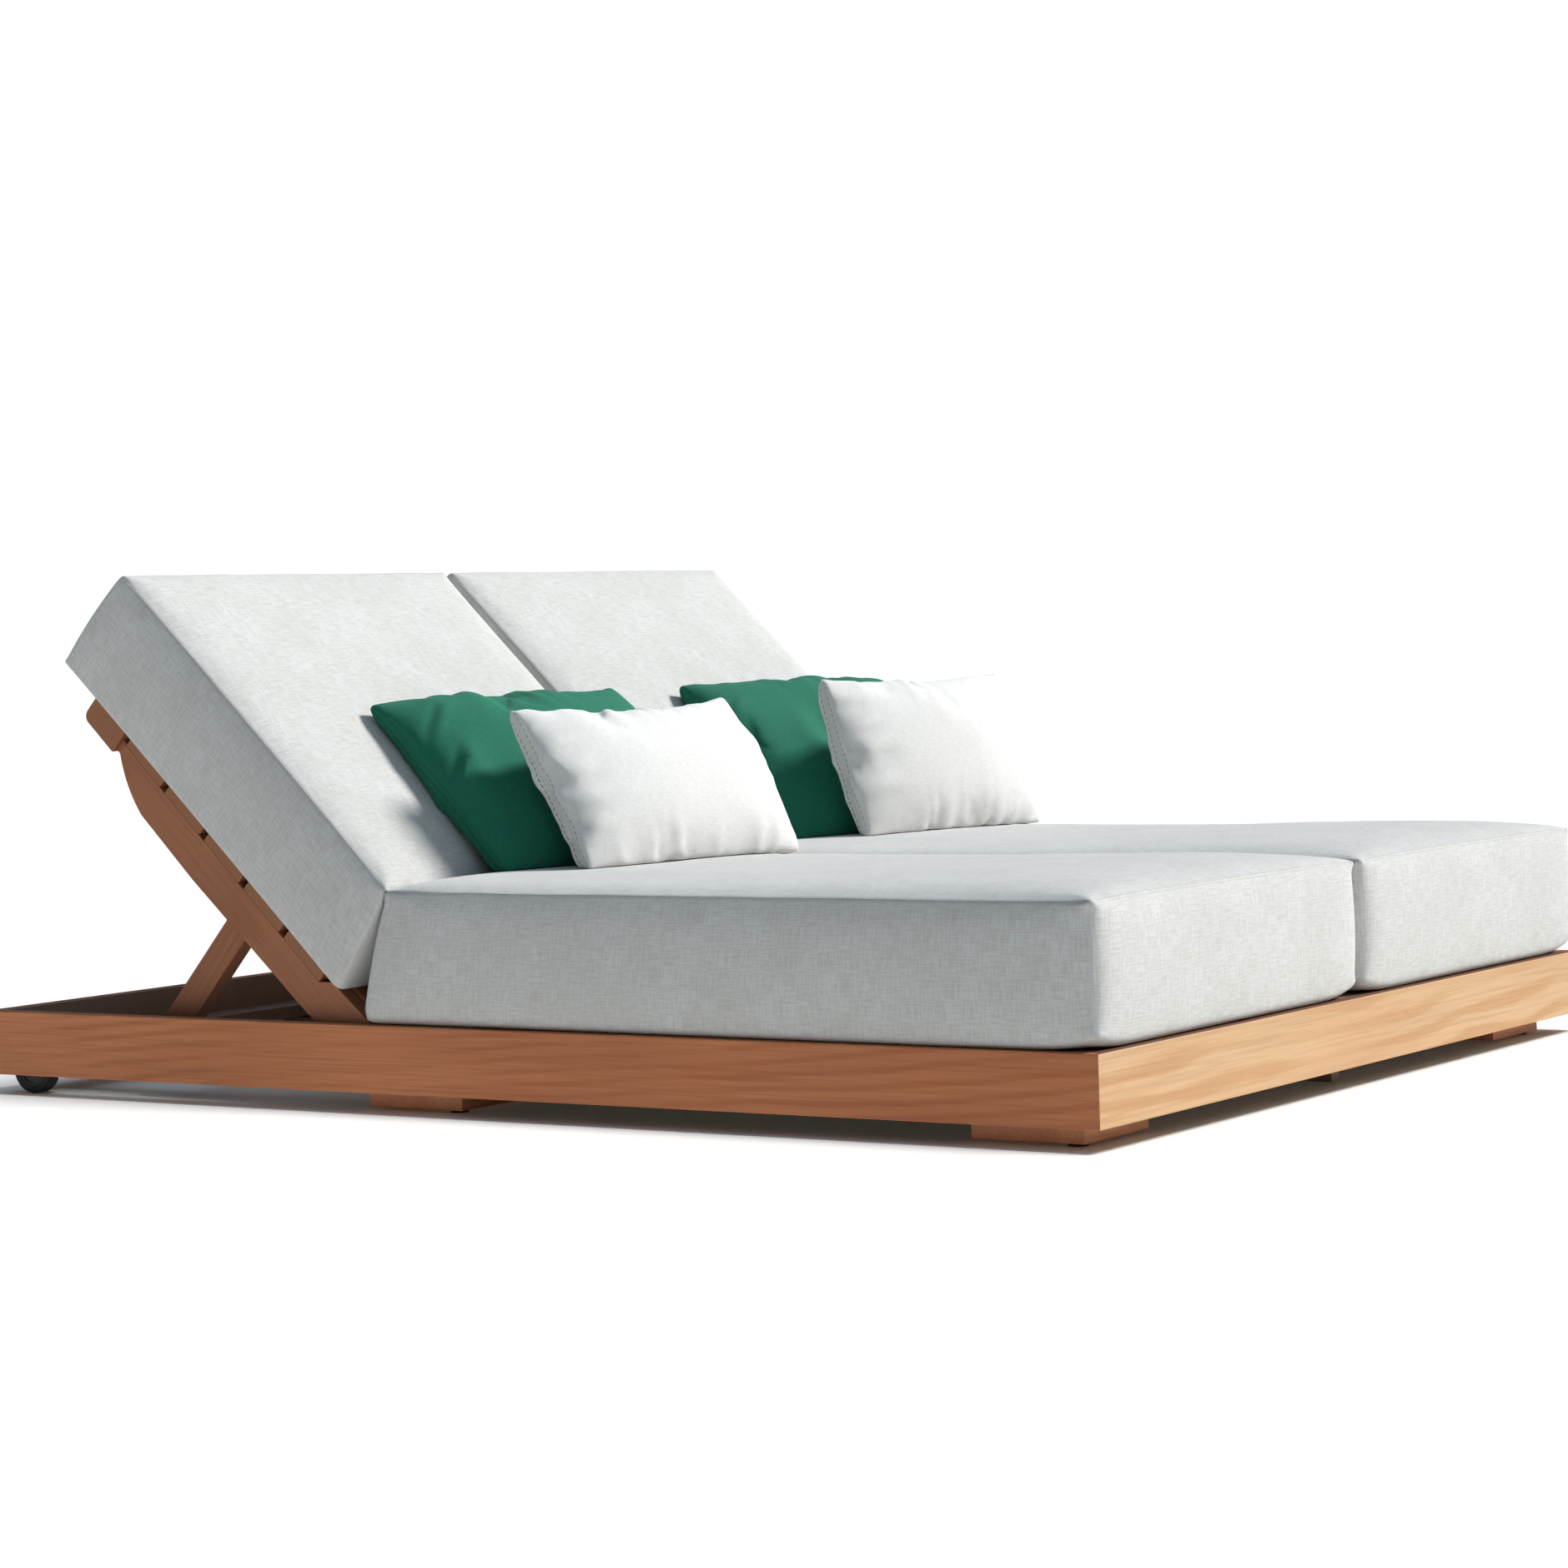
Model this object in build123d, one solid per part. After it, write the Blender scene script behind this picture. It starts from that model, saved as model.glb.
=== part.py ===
from build123d import *
import os
from math import copysign, cos, hypot, radians, sin

# Double chaise lounger: a low wooden base with two seat cushions, and two
# backrests that each recline about a pair of pins and stand on a folding prop.
# Millimetres. Origin on the ground under the middle of the base, +Y towards
# the head end, +Z up. "Left" is the -X half, "right" is the +X half.

# Overall sizes
base_width = 1600.0
base_length = 2010.0
rail_height = 100.0
rail_thick = 25.0
edge_ease = 1.5

# Feet: square blocks under cross boards, with plastic glides under them
pad_size = 175.0
pad_inset = 53.0
pad_drop = 27.0
mid_pad_gap = 71.5
bearer_thick = 22.0
glide_height = 5.0
glide_radius = 14.0
glide_inset = 24.0
screw_radius = 3.0
screw_head_radius = 5.5
screw_head_height = 3.0
screw_bite = 14.0
screw_inset = 60.0

# Seat platform
beam_thick = 24.0
ledger_width = 25.0
ledger_height = 30.0
seat_slat_width = 92.0
seat_slat_thick = 20.0
seat_slat_count = 11
seat_end_gap = 33.5
slat_end_gap = 1.0
dowel_radius = 4.0
dowel_length = 20.0
dowel_distance = 50.0

# Backrest frames, measured from the hinge pin: u up the slope, v towards the
# cushion. The frame lies inside the base when it is flat.
back_angle = 43.7
hinge_height = 76.0
flat_rise = 2.0
back_side_gap = 3.0
back_rail_thick = 28.0
back_rail_depth = 60.0
back_rail_length = 635.0
rail_tail_depth = 51.0
rail_full_length = 235.0
rail_knee_length = 95.0
rail_knee_depth = 58.0
rail_bow_length = 26.0
rail_bow_depth = 33.0
rail_tip_depth = 16.0
flat_end_gap = 2.0
lug_radius = 26.0
lug_length = 100.0
lug_rise = 19.0
back_slat_thick = 25.0
back_slat_gap = 13.4
back_slat_start = 119.8
back_slat_end_gap = 1.6
back_slat_count = 5
cross_rail_start = 16.0
cross_rail_width = 90.0
top_board_gap = 12.5
top_board_width = 80.0
top_board_thick = 51.0
top_board_round = 13.0
tenon_thick = 12.0
tenon_height = 22.0
tenon_depth = 25.0

# Pivot pins
pin_radius = 5.0
pin_seat = 9.0
pin_head_radius = 9.0
pin_head_height = 5.0
pin_collar_radius = 11.0
pivot_gap = 3.0
running_clearance = 0.05
face_clearance = 0.3

# Props: two legs and a bar, folding under the backrest
prop_pivot_u = 306.0
prop_pivot_v = -31.0
prop_angle = 48.2
prop_length = 307.0
prop_width = 46.0
prop_thick = 28.0
bar_radius = 10.0
rack_height = 23.0
rack_width = 30.0
rack_gap = 8.0
notch_radius = 12.0
notch_depth = 7.0
notch_count = 5
rest_board_width = 70.0
rest_board_thick = 20.0
rest_board_drop = 1.0

# Wheels at the head end
wheel_radius = 40.0
wheel_width = 25.0
wheel_gap = 2.0
wheel_end_gap = 4.0
tyre_thick = 12.0
tyre_round = 4.0
hub_inset = 2.0
hub_boss_radius = 12.0
hub_dish = 4.0
axle_radius = 6.0
flange_thick = 3.0
flange_length = 60.0
flange_height = 44.0
nut_radius = 10.0
nut_height = 7.0

# Cushions
cushion_gap = 4.0
cushion_round = 28.0
cushion_bulge = 3.5
cushion_draw = 5.0
seat_thick = 200.0
seat_foot_inset = 5.0
seat_top_gap = 75.5
seat_slant = 46.0
seat_crown = 12.0
back_thick = 185.0
back_start = 102.0
back_overhang = 67.5
back_crown = 10.0

# Loose pillows: a sharp seam all round, a full belly and pinched corners. Each
# stands on its lower corners, leans back and is turned a little to one side.
green_width = 514.0
green_height = 380.0
green_belly = 61.0
green_left_rear = 45.6
green_right_rear = 43.75
green_lean = 42.0
green_left_turn = 9.5
green_right_turn = 10.5
green_left_x = -317.0
green_right_x = 486.0
green_distance = 165.5
green_left_rise = 4.8
green_right_rise = 4.6
lumbar_width = 485.0
lumbar_height = 282.0
lumbar_belly = 60.0
lumbar_rear = 44.0
lumbar_turn = 6.0
lumbar_left_x = -258.0
lumbar_right_x = 545.0
lumbar_left_distance = 253.5
lumbar_right_distance = 228.5
lumbar_left_lean = 58.0
lumbar_right_lean = 71.0
lumbar_left_rise = 8.4
lumbar_right_rise = 7.4
pillow_draw = 14.0
pillow_edge = 3.0

# Shares of the lengths that they follow
cushion_length_shares = (0.0, 0.012, 0.04, 0.15, 0.32, 0.5, 0.68, 0.85, 0.96, 0.988, 1.0)
cushion_crown_shares = (0.03, 0.2, 0.45, 0.85, 0.97, 1.0, 0.97, 0.85, 0.45, 0.2, 0.03)
seat_lift_shares = (1.0, 0.3, 0.0, 0.0, 0.0, 0.0, 0.0, 0.0, 0.0, 0.3, 1.0)
back_lift_shares = (1.0, 0.3, 0.0, 0.0, 0.0, 0.0, 0.0, 0.0, 0.0, 0.1, 0.5)
pillow_length_shares = (0.0, 0.08, 0.22, 0.5, 0.78, 0.92, 1.0)
pillow_belly_shares = (0.0, 0.42, 0.84, 1.0, 0.84, 0.42, 0.0)

# Places worked out from the sizes
half_width = base_width / 2
foot_face = -base_length / 2
rail_bottom = pad_drop + glide_height
rail_top = rail_bottom + rail_height
hinge_z = rail_bottom + hinge_height
contact_v = rail_top + flat_rise - hinge_z
back_rail_top_v = contact_v - back_slat_thick
slope_cos = cos(radians(back_angle))
slope_sin = sin(radians(back_angle))
rail_inside = half_width - rail_thick
beam_half = beam_thick / 2
back_outer_x = rail_inside - back_side_gap
back_inner_x = beam_half + back_side_gap
back_frame_length = back_rail_length + top_board_gap + top_board_width
hinge_y = base_length / 2 - rail_thick - flat_end_gap - back_frame_length
seat_end_y = hinge_y - seat_end_gap
foot_pad_y = foot_face + pad_inset + pad_size / 2
mid_pad_y = hinge_y - mid_pad_gap
back_slat_room = back_rail_length - back_slat_end_gap - back_slat_start
back_slat_pitch = (back_slat_room + back_slat_gap) / back_slat_count
back_slat_width = back_slat_pitch - back_slat_gap
seat_foot = foot_face + seat_foot_inset
wheel_x = rail_inside - flange_thick - wheel_gap
wheel_y = base_length / 2 - rail_thick - wheel_end_gap - wheel_radius
back_place = Pos(0, hinge_y, hinge_z) * Rot(back_angle, 0, 0)


def from_foot(distance):
    return foot_face + distance


def sloped(u, v):
    """World Y and Z of a point given along and across the raised backrest."""
    return (hinge_y + u * slope_cos - v * slope_sin, hinge_z + u * slope_sin + v * slope_cos)


prop_y, prop_z = sloped(prop_pivot_u, prop_pivot_v)
bar_y = prop_y + prop_length * cos(radians(prop_angle))
bar_z = prop_z - prop_length * sin(radians(prop_angle))
prop_place = Pos(0, prop_y, prop_z) * Rot(-prop_angle, 0, 0)
parts = {}


def block(x0, x1, y0, y1, z0, z1):
    """Square-edged board between two opposite corners."""
    centre = Pos((x0 + x1) / 2, (y0 + y1) / 2, (z0 + z1) / 2)
    return centre * Box(abs(x1 - x0), abs(y1 - y0), abs(z1 - z0))


def board(x0, x1, y0, y1, z0, z1):
    """Board with eased edges."""
    solid = block(x0, x1, y0, y1, z0, z1)
    return fillet(solid.edges(), edge_ease)


def rod(x0, x1, y, z, radius):
    """Round bar along X."""
    return Pos((x0 + x1) / 2, y, z) * Rot(0, 90, 0) * Cylinder(radius, abs(x1 - x0))


def group(solids):
    return Compound(children=[s.solids()[0] for s in solids])


def sides():
    """Name and sign of each half."""
    return (("left", -1), ("right", 1))


# Base rails, mitred at the corners

def mitred_rail(length, thick, height):
    """Rail along X with its outer face at Y = 0, standing on Z = 0."""
    half = length / 2
    plan = Polygon((-half, 0), (half, 0), (half - thick, thick), (-half + thick, thick),
                   align=None)
    solid = extrude(plan, amount=height)
    long_edges = solid.edges().filter_by(Axis.X)
    return fillet(long_edges, edge_ease)


def corner_dowels():
    """Pairs of dowels across each mitre, one above the other."""
    pins = []
    for sx in (-1, 1):
        for sy in (-1, 1):
            x = sx * (half_width - rail_thick / 2)
            y = sy * (base_length / 2 - rail_thick / 2)
            for step in (-1, 1):
                z = rail_bottom + rail_height / 2 + step * dowel_distance / 2
                turn = 45 if sx * sy > 0 else -45
                pin = Cylinder(dowel_radius, dowel_length)
                pins.append(Pos(x, y, z) * Rot(0, 0, -turn) * Rot(0, 90, 0) * pin)
    return pins


def hinge_sockets(side):
    """Blind holes for the two hinge pins of one backrest."""
    outer = rod(side * rail_inside, side * (rail_inside + pin_seat), hinge_y, hinge_z, pin_radius)
    inner = rod(side * beam_half, side * (beam_half - pin_seat), hinge_y, hinge_z, pin_radius)
    return outer, inner


def make_base_rails():
    side_rail = mitred_rail(base_length, rail_thick, rail_height)
    end_rail = mitred_rail(base_width, rail_thick, rail_height)
    dowels = corner_dowels()
    left = Pos(-half_width, 0, rail_bottom) * Rot(0, 0, -90) * side_rail
    right = Pos(half_width, 0, rail_bottom) * Rot(0, 0, 90) * side_rail
    foot = Pos(0, foot_face, rail_bottom) * end_rail
    head = Pos(0, -foot_face, rail_bottom) * Rot(0, 0, 180) * end_rail
    rails = {"side_rail_left": left, "side_rail_right": right, "foot_rail": foot, "head_rail": head}
    for side_name, side in sides():
        name = "side_rail_" + side_name
        rails[name] = rails[name] - hinge_sockets(side)[0]
    for name in rails:
        for dowel in dowels:
            rails[name] = rails[name] - dowel
    parts.update(rails)
    parts["mitre_dowels"] = group(dowels)


# Beam, cross boards, feet and slats

def make_centre_beam():
    slat_underside = rail_top - seat_slat_thick
    front = block(-beam_half, beam_half, from_foot(pad_inset), seat_end_y,
                  glide_height, slat_underside)
    keel_end = mid_pad_y + pad_size / 2
    keel = block(-beam_half, beam_half, seat_end_y, keel_end, glide_height, rail_top)
    rear = block(-beam_half, beam_half, keel_end, -foot_face - rail_thick, rail_bottom, rail_top)
    nose = block(-beam_half, beam_half, from_foot(rail_thick), from_foot(pad_inset),
                 rail_bottom, slat_underside)
    beam = nose + front + keel + rear
    for side in (-1, 1):
        beam = beam - hinge_sockets(side)[1]
    parts["centre_beam"] = beam


def pad_spots():
    """Name, sign and middle Y of each foot block."""
    spots = []
    for row_name, middle_y in (("foot", foot_pad_y), ("middle", mid_pad_y)):
        for side_name, side in sides():
            spots.append((row_name + "_" + side_name, side, middle_y))
    return spots


def make_bearers_and_feet():
    bearers = {"foot": [], "middle": []}
    glides = []
    screws = []
    for name, side, y in pad_spots():
        y0 = y - pad_size / 2
        y1 = y + pad_size / 2
        bearer = block(side * beam_half, side * rail_inside, y0, y1,
                       rail_bottom, rail_bottom + bearer_thick)
        x1 = half_width - pad_inset
        x0 = x1 - pad_size
        pad = board(side * x0, side * x1, y0, y1, glide_height, rail_bottom)
        for step in (-1, 1):
            gx = side * ((x0 + x1) / 2 + step * (pad_size / 2 - glide_inset))
            gy = y - step * (pad_size / 2 - glide_inset)
            glides.append(Pos(gx, gy, glide_height / 2) * Cylinder(glide_radius, glide_height))
            sx = side * ((x0 + x1) / 2 + step * (pad_size / 2 - screw_inset))
            sy = y + step * (pad_size / 2 - screw_inset)
            shank_top = rail_bottom + screw_bite
            shank = Pos(sx, sy, (glide_height + shank_top) / 2) * Cylinder(
                screw_radius, shank_top - glide_height)
            head = Pos(sx, sy, glide_height + screw_head_height / 2) * Cylinder(
                screw_head_radius, screw_head_height)
            screw = shank + head
            screws.append(screw)
            pad = pad - screw
            bearer = bearer - screw
        parts["foot_pad_" + name] = pad
        bearers[name.split("_")[0]].append(bearer)
    for y in (foot_pad_y, mid_pad_y):
        glide = Cylinder(beam_half - edge_ease, glide_height)
        glides.append(Pos(0, y, glide_height / 2) * glide)
    parts["foot_bearers"] = group(bearers["foot"])
    parts["middle_bearers"] = group(bearers["middle"])
    parts["foot_glides"] = group(glides)
    parts["foot_screws"] = group(screws)


def make_seat_platform():
    slat_underside = rail_top - seat_slat_thick
    for side_name, side in sides():
        parts["side_ledger_" + side_name] = board(
            side * rail_inside, side * (rail_inside - ledger_width), from_foot(rail_thick),
            seat_end_y, slat_underside - ledger_height, slat_underside)
    room = seat_end_y - from_foot(rail_thick)
    pitch = (room - seat_slat_width) / (seat_slat_count - 1)
    slats = []
    for index in range(seat_slat_count):
        y0 = from_foot(rail_thick + index * pitch)
        slats.append(board(-rail_inside + slat_end_gap, rail_inside - slat_end_gap,
                           y0, y0 + seat_slat_width, slat_underside, rail_top))
    parts["seat_slats"] = group(slats)


# Pivot pins

def pivot_pin(face_x, toward, y, z, lug):
    """Headed pin: seated in the fixed face, through a gap and a moving lug."""
    tip = face_x - toward * pin_seat
    head = face_x + toward * (pivot_gap + lug + face_clearance)
    pin = rod(tip, head, y, z, pin_radius)
    collar = rod(face_x, face_x + toward * (pivot_gap - face_clearance), y, z, pin_collar_radius)
    cap = rod(head, head + toward * pin_head_height, y, z, pin_head_radius)
    return pin + collar + cap


def make_hinge_pins():
    pins = []
    for side in (-1, 1):
        pins.append(pivot_pin(side * rail_inside, -side, hinge_y, hinge_z, back_rail_thick))
        pins.append(pivot_pin(side * beam_half, side, hinge_y, hinge_z, back_rail_thick))
    parts["hinge_pins"] = group(pins)


# Backrest frames, drawn flat with the hinge pin at the origin and then raised

def back_rail_outline():
    """Side view of a back rail: round lug, straight body, tapered rear end."""
    top = back_rail_top_v
    tail = (lug_length, top - rail_tail_depth)
    full = (back_rail_length - rail_full_length, top - back_rail_depth)
    knee = (back_rail_length - rail_knee_length, top - rail_knee_depth)
    bow = (back_rail_length - rail_bow_length, top - rail_bow_depth)
    tip = (back_rail_length, top - rail_tip_depth)
    pieces = [
        Line((back_rail_length, top), (lug_length + lug_rise, top)),
        Line((lug_length + lug_rise, top), (lug_length, lug_rise)),
        Line((lug_length, lug_rise), (0, lug_radius)),
        ThreePointArc((0, lug_radius), (-lug_radius, 0), (0, -lug_radius)),
        Line((0, -lug_radius), tail),
        Line(tail, full),
        Line(full, knee),
        ThreePointArc(knee, bow, tip),
        Line(tip, (back_rail_length, top)),
    ]
    return make_face(Wire(pieces))


def tenon_block(x0, x1):
    """Tongue on the end of a back rail; the same form cuts the mortise."""
    middle = (x0 + x1) / 2
    return block(middle - tenon_thick / 2, middle + tenon_thick / 2,
                 back_rail_length - edge_ease, back_rail_length + top_board_gap + tenon_depth,
                 back_rail_top_v - tenon_height, back_rail_top_v - edge_ease)


def back_rail(x0, x1):
    """Back rail bored for its hinge pin; the prop's pin is seated in the face x1."""
    low = min(x0, x1)
    outline = back_rail_outline()
    plate = extrude(Plane.YZ * outline, amount=back_rail_thick)
    rail = Pos(low, 0, 0) * plate
    rail = rail + tenon_block(x0, x1)
    bore = rod(low, low + back_rail_thick, 0, 0, pin_radius + running_clearance)
    seat_end_x = x1 + copysign(pin_seat, x0 - x1)
    socket = rod(x1, seat_end_x, prop_pivot_u, prop_pivot_v, pin_radius)
    return rail - bore - socket


def make_back_frame(side_name, side):
    outer = (side * back_outer_x, side * (back_outer_x - back_rail_thick))
    inner = (side * back_inner_x, side * (back_inner_x + back_rail_thick))
    parts["back_rail_outer_" + side_name] = back_place * back_rail(*outer)
    parts["back_rail_inner_" + side_name] = back_place * back_rail(*inner)
    cross = board(outer[1], inner[1], cross_rail_start, cross_rail_start + cross_rail_width,
                  back_rail_top_v, contact_v)
    parts["back_cross_rail_" + side_name] = back_place * cross
    for index in range(back_slat_count):
        u0 = back_slat_start + index * back_slat_pitch
        slat = board(outer[0], inner[0], u0, u0 + back_slat_width, back_rail_top_v, contact_v)
        parts[f"back_slat_{side_name}_{index + 1}"] = back_place * slat
    u0 = back_rail_length + top_board_gap
    handle = block(outer[0], inner[0], u0, u0 + top_board_width,
                   contact_v - top_board_thick, contact_v)
    far_edges = handle.edges().filter_by(Axis.X).sort_by(Axis.Y)[-2:]
    handle = fillet(far_edges, top_board_round)
    low_edge = handle.edges().filter_by(Axis.X).sort_by(Axis.Z)[0]
    handle = fillet(low_edge, edge_ease)
    for x0, x1 in (outer, inner):
        handle = handle - tenon_block(x0, x1)
    parts["back_top_board_" + side_name] = back_place * handle
    pins = [pivot_pin(outer[1], -side, prop_y, prop_z, prop_thick),
            pivot_pin(inner[1], side, prop_y, prop_z, prop_thick)]
    parts["prop_pins_" + side_name] = group(pins)


# Props and racks

def prop_leg(x0, x1):
    """Leg with both ends round, bored for its pin and its bar."""
    low = min(x0, x1)
    radius = prop_width / 2
    ends = (Circle(radius) + Pos(prop_length, 0) * Circle(radius)
            + Pos(prop_length / 2, 0) * Rectangle(prop_length, prop_width))
    leg = Pos(low, 0, 0) * extrude(Plane.YZ * ends, amount=prop_thick)
    bore = rod(low, low + prop_thick, 0, 0, pin_radius + running_clearance)
    bar_hole = rod(low, low + prop_thick, prop_length, 0, bar_radius)
    return leg - bore - bar_hole


def prop_spans(side):
    """X planes of the outer and the inner leg."""
    outer = back_outer_x - back_rail_thick - pivot_gap
    inner = back_inner_x + back_rail_thick + pivot_gap
    return ((side * outer, side * (outer - prop_thick)), (side * inner, side * (inner + prop_thick)))


def make_prop(side_name, side):
    outer, inner = prop_spans(side)
    parts["prop_leg_outer_" + side_name] = prop_place * prop_leg(*outer)
    parts["prop_leg_inner_" + side_name] = prop_place * prop_leg(*inner)
    bar = rod(outer[0], inner[0], prop_length, 0, bar_radius)
    parts["prop_bar_" + side_name] = prop_place * bar


def rack(x0, x1):
    """Notched board that the bar of the prop stands over."""
    top = rail_bottom + rack_height
    solid = block(x0, x1, mid_pad_y + pad_size / 2, -foot_face - rail_thick, rail_bottom, top)
    travel = (hinge_y + prop_pivot_u + prop_length) - bar_y
    for index in range(notch_count):
        y = bar_y + index * travel / (notch_count - 1)
        notch = rod(min(x0, x1), max(x0, x1), y, top + notch_radius - notch_depth, notch_radius)
        solid = solid - notch
    return solid


def make_racks():
    racks = []
    for side in (-1, 1):
        outer, inner = prop_spans(side)
        racks.append(rack(outer[1] - side * rack_gap, outer[1] - side * (rack_gap + rack_width)))
        racks.append(rack(inner[1] + side * rack_gap, inner[1] + side * (rack_gap + rack_width)))
    parts["prop_racks"] = group(racks)


def make_rest_boards():
    """Ledges inside the head rail that the flat backrests come down to."""
    top = hinge_z + contact_v - top_board_thick - rest_board_drop
    wheel_side = wheel_x - wheel_width - wheel_gap - nut_height - wheel_gap
    boards = []
    for side in (-1, 1):
        boards.append(board(side * beam_half, side * wheel_side,
                            -foot_face - rail_thick - rest_board_width, -foot_face - rail_thick,
                            top - rest_board_thick, top))
    parts["back_rest_boards"] = group(boards)


# Wheels

def wheel_axle(side):
    """Flanged stub axle on the inner face of the side rail, with its nut."""
    inside = side * rail_inside
    plate_z0 = rail_bottom + edge_ease
    plate = block(inside, inside - side * flange_thick, wheel_y - flange_length / 2,
                  wheel_y + flange_length / 2 - wheel_end_gap, plate_z0, plate_z0 + flange_height)
    shoulder = rod(inside - side * flange_thick, side * wheel_x + side * face_clearance,
                   wheel_y, wheel_radius, hub_boss_radius)
    end = side * (wheel_x - wheel_width)
    stem = rod(inside - side * flange_thick, end - side * (wheel_gap + nut_height),
               wheel_y, wheel_radius, axle_radius)
    washer = rod(end - side * face_clearance, end - side * wheel_gap, wheel_y, wheel_radius,
                 hub_boss_radius)
    nut = Pos(end - side * (wheel_gap + nut_height / 2), wheel_y, wheel_radius) * (
        Rot(0, 90, 0) * extrude(RegularPolygon(nut_radius, 6), amount=nut_height / 2, both=True))
    axle = plate + shoulder + stem
    return axle, (washer + nut) - stem


def wheel_form(side):
    """Tyre and hub, turned about the axle."""
    middle = side * (wheel_x - wheel_width / 2)
    hub_radius = wheel_radius - tyre_thick
    ring = Cylinder(wheel_radius, wheel_width)
    ring = fillet(ring.edges(), tyre_round) - Cylinder(hub_radius, wheel_width)
    hub = Cylinder(hub_radius, wheel_width - hub_inset)
    web = Cylinder(hub_radius - hub_dish, hub_dish) - Cylinder(hub_boss_radius, hub_dish)
    for step in (-1, 1):
        hub = hub - Pos(0, 0, step * (wheel_width - hub_inset) / 2) * web
    hub = hub + Cylinder(hub_boss_radius, wheel_width)
    hub = hub - Cylinder(axle_radius + running_clearance, wheel_width)
    place = Pos(middle, wheel_y, wheel_radius) * Rot(0, 90, 0)
    return place * ring, place * hub


def make_wheels():
    axle_solids = []
    for side_name, side in sides():
        axle, nut = wheel_axle(side)
        axle_solids += [axle, nut]
        tyre, hub = wheel_form(side)
        parts["wheel_tyre_" + side_name] = tyre
        parts["wheel_hub_" + side_name] = hub
    parts["wheel_axles"] = group(axle_solids)


# Cushions: rows of sections lofted from end to end

def cushion_row(width, height, crown, lift, corner, bulge):
    """Section of a cushion: flat base, round lower edges, sharp upper seams."""
    half = width / 2
    inset = corner * (1 - cos(radians(45)))
    base = lift
    pieces = [
        Line((-half + corner, base), (half - corner, base)),
        ThreePointArc((half - corner, base), (half - inset, base + inset), (half, base + corner)),
        ThreePointArc((half, base + corner), (half + bulge, (base + corner + height) / 2),
                      (half, height)),
        ThreePointArc((half, height), (0, height + crown), (-half, height)),
        ThreePointArc((-half, height), (-half - bulge, (base + corner + height) / 2),
                      (-half, base + corner)),
        ThreePointArc((-half, base + corner), (-half + inset, base + inset), (-half + corner, base)),
    ]
    return make_face(Wire(pieces))


def cushion(middle_x, width, start, length, base, height, crown, slant, lift_shares):
    """Cushion along Y; its far end leans back by the slant at the base."""
    rows = []
    for t, crown_share, lift_share in zip(cushion_length_shares, cushion_crown_shares,
                                          lift_shares):
        lean = slant * t
        tall = hypot(lean, height)
        draw = cushion_draw * (1 - (2 * t - 1) ** 2)
        face = cushion_row(width - 2 * draw, tall, crown * crown_share,
                           cushion_round * lift_share, cushion_round, cushion_bulge)
        spot = Plane(origin=(middle_x, start + t * (length + slant), base), x_dir=(1, 0, 0),
                     z_dir=(0, -height, -lean))
        rows.append(spot * face)
    return loft(rows, ruled=True)


def make_cushions():
    room = half_width - cushion_gap / 2
    width = room - 2 * cushion_bulge
    for side_name, side in sides():
        middle = side * (cushion_gap / 2 + room / 2)
        seat = cushion(middle, width, seat_foot, hinge_y - seat_top_gap - seat_foot, rail_top,
                       seat_thick, seat_crown, seat_slant, seat_lift_shares)
        parts["seat_cushion_" + side_name] = seat
        back_length = back_frame_length + back_overhang - back_start
        back = cushion(middle, width, back_start, back_length, contact_v, back_thick,
                       back_crown, 0, back_lift_shares)
        parts["back_cushion_" + side_name] = back_place * back


def pillow(width, height, belly, rear):
    """Pillow standing on Z = 0 with its seams in the plane Y = 0, belly to -Y."""
    rows = []
    for t, share in zip(pillow_length_shares, pillow_belly_shares):
        draw = pillow_draw * (1 - (2 * t - 1) ** 2)
        low = draw
        high = height - draw
        front = pillow_edge + (belly - pillow_edge) * share
        back = pillow_edge + (rear - pillow_edge) * share
        middle = (low + high) / 2
        lens = make_face(Wire([ThreePointArc((0, low), (front, middle), (0, high)),
                               ThreePointArc((0, high), (-back, middle), (0, low))]))
        spot = Plane(origin=((t - 0.5) * width, 0, 0), x_dir=(0, -1, 0), z_dir=(-1, 0, 0))
        rows.append(spot * lens)
    return loft(rows, ruled=True)


def stand_pillow(form, x, distance, rise, lean, turn):
    """Tip the pillow back, turn it, and stand it on the seat before the hinge."""
    place = Pos(x, hinge_y - distance, rail_top + seat_thick + rise)
    return place * Rot(0, 0, -turn) * Rot(lean - 90, 0, 0) * form


def make_pillows():
    green_left = pillow(green_width, green_height, green_belly, green_left_rear)
    green_right = pillow(green_width, green_height, green_belly, green_right_rear)
    lumbar = pillow(lumbar_width, lumbar_height, lumbar_belly, lumbar_rear)
    parts["green_pillow_left"] = stand_pillow(green_left, green_left_x, green_distance,
                                              green_left_rise, green_lean, green_left_turn)
    parts["green_pillow_right"] = stand_pillow(green_right, green_right_x, green_distance,
                                               green_right_rise, green_lean, green_right_turn)
    parts["lumbar_pillow_left"] = stand_pillow(lumbar, lumbar_left_x, lumbar_left_distance,
                                               lumbar_left_rise, lumbar_left_lean, lumbar_turn)
    parts["lumbar_pillow_right"] = stand_pillow(lumbar, lumbar_right_x, lumbar_right_distance,
                                                lumbar_right_rise, lumbar_right_lean, lumbar_turn)


make_base_rails()
make_centre_beam()
make_bearers_and_feet()
make_seat_platform()
make_hinge_pins()
for name_of_side, sign_of_side in sides():
    make_back_frame(name_of_side, sign_of_side)
    make_prop(name_of_side, sign_of_side)
make_racks()
make_rest_boards()
make_wheels()
make_cushions()
make_pillows()

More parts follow.
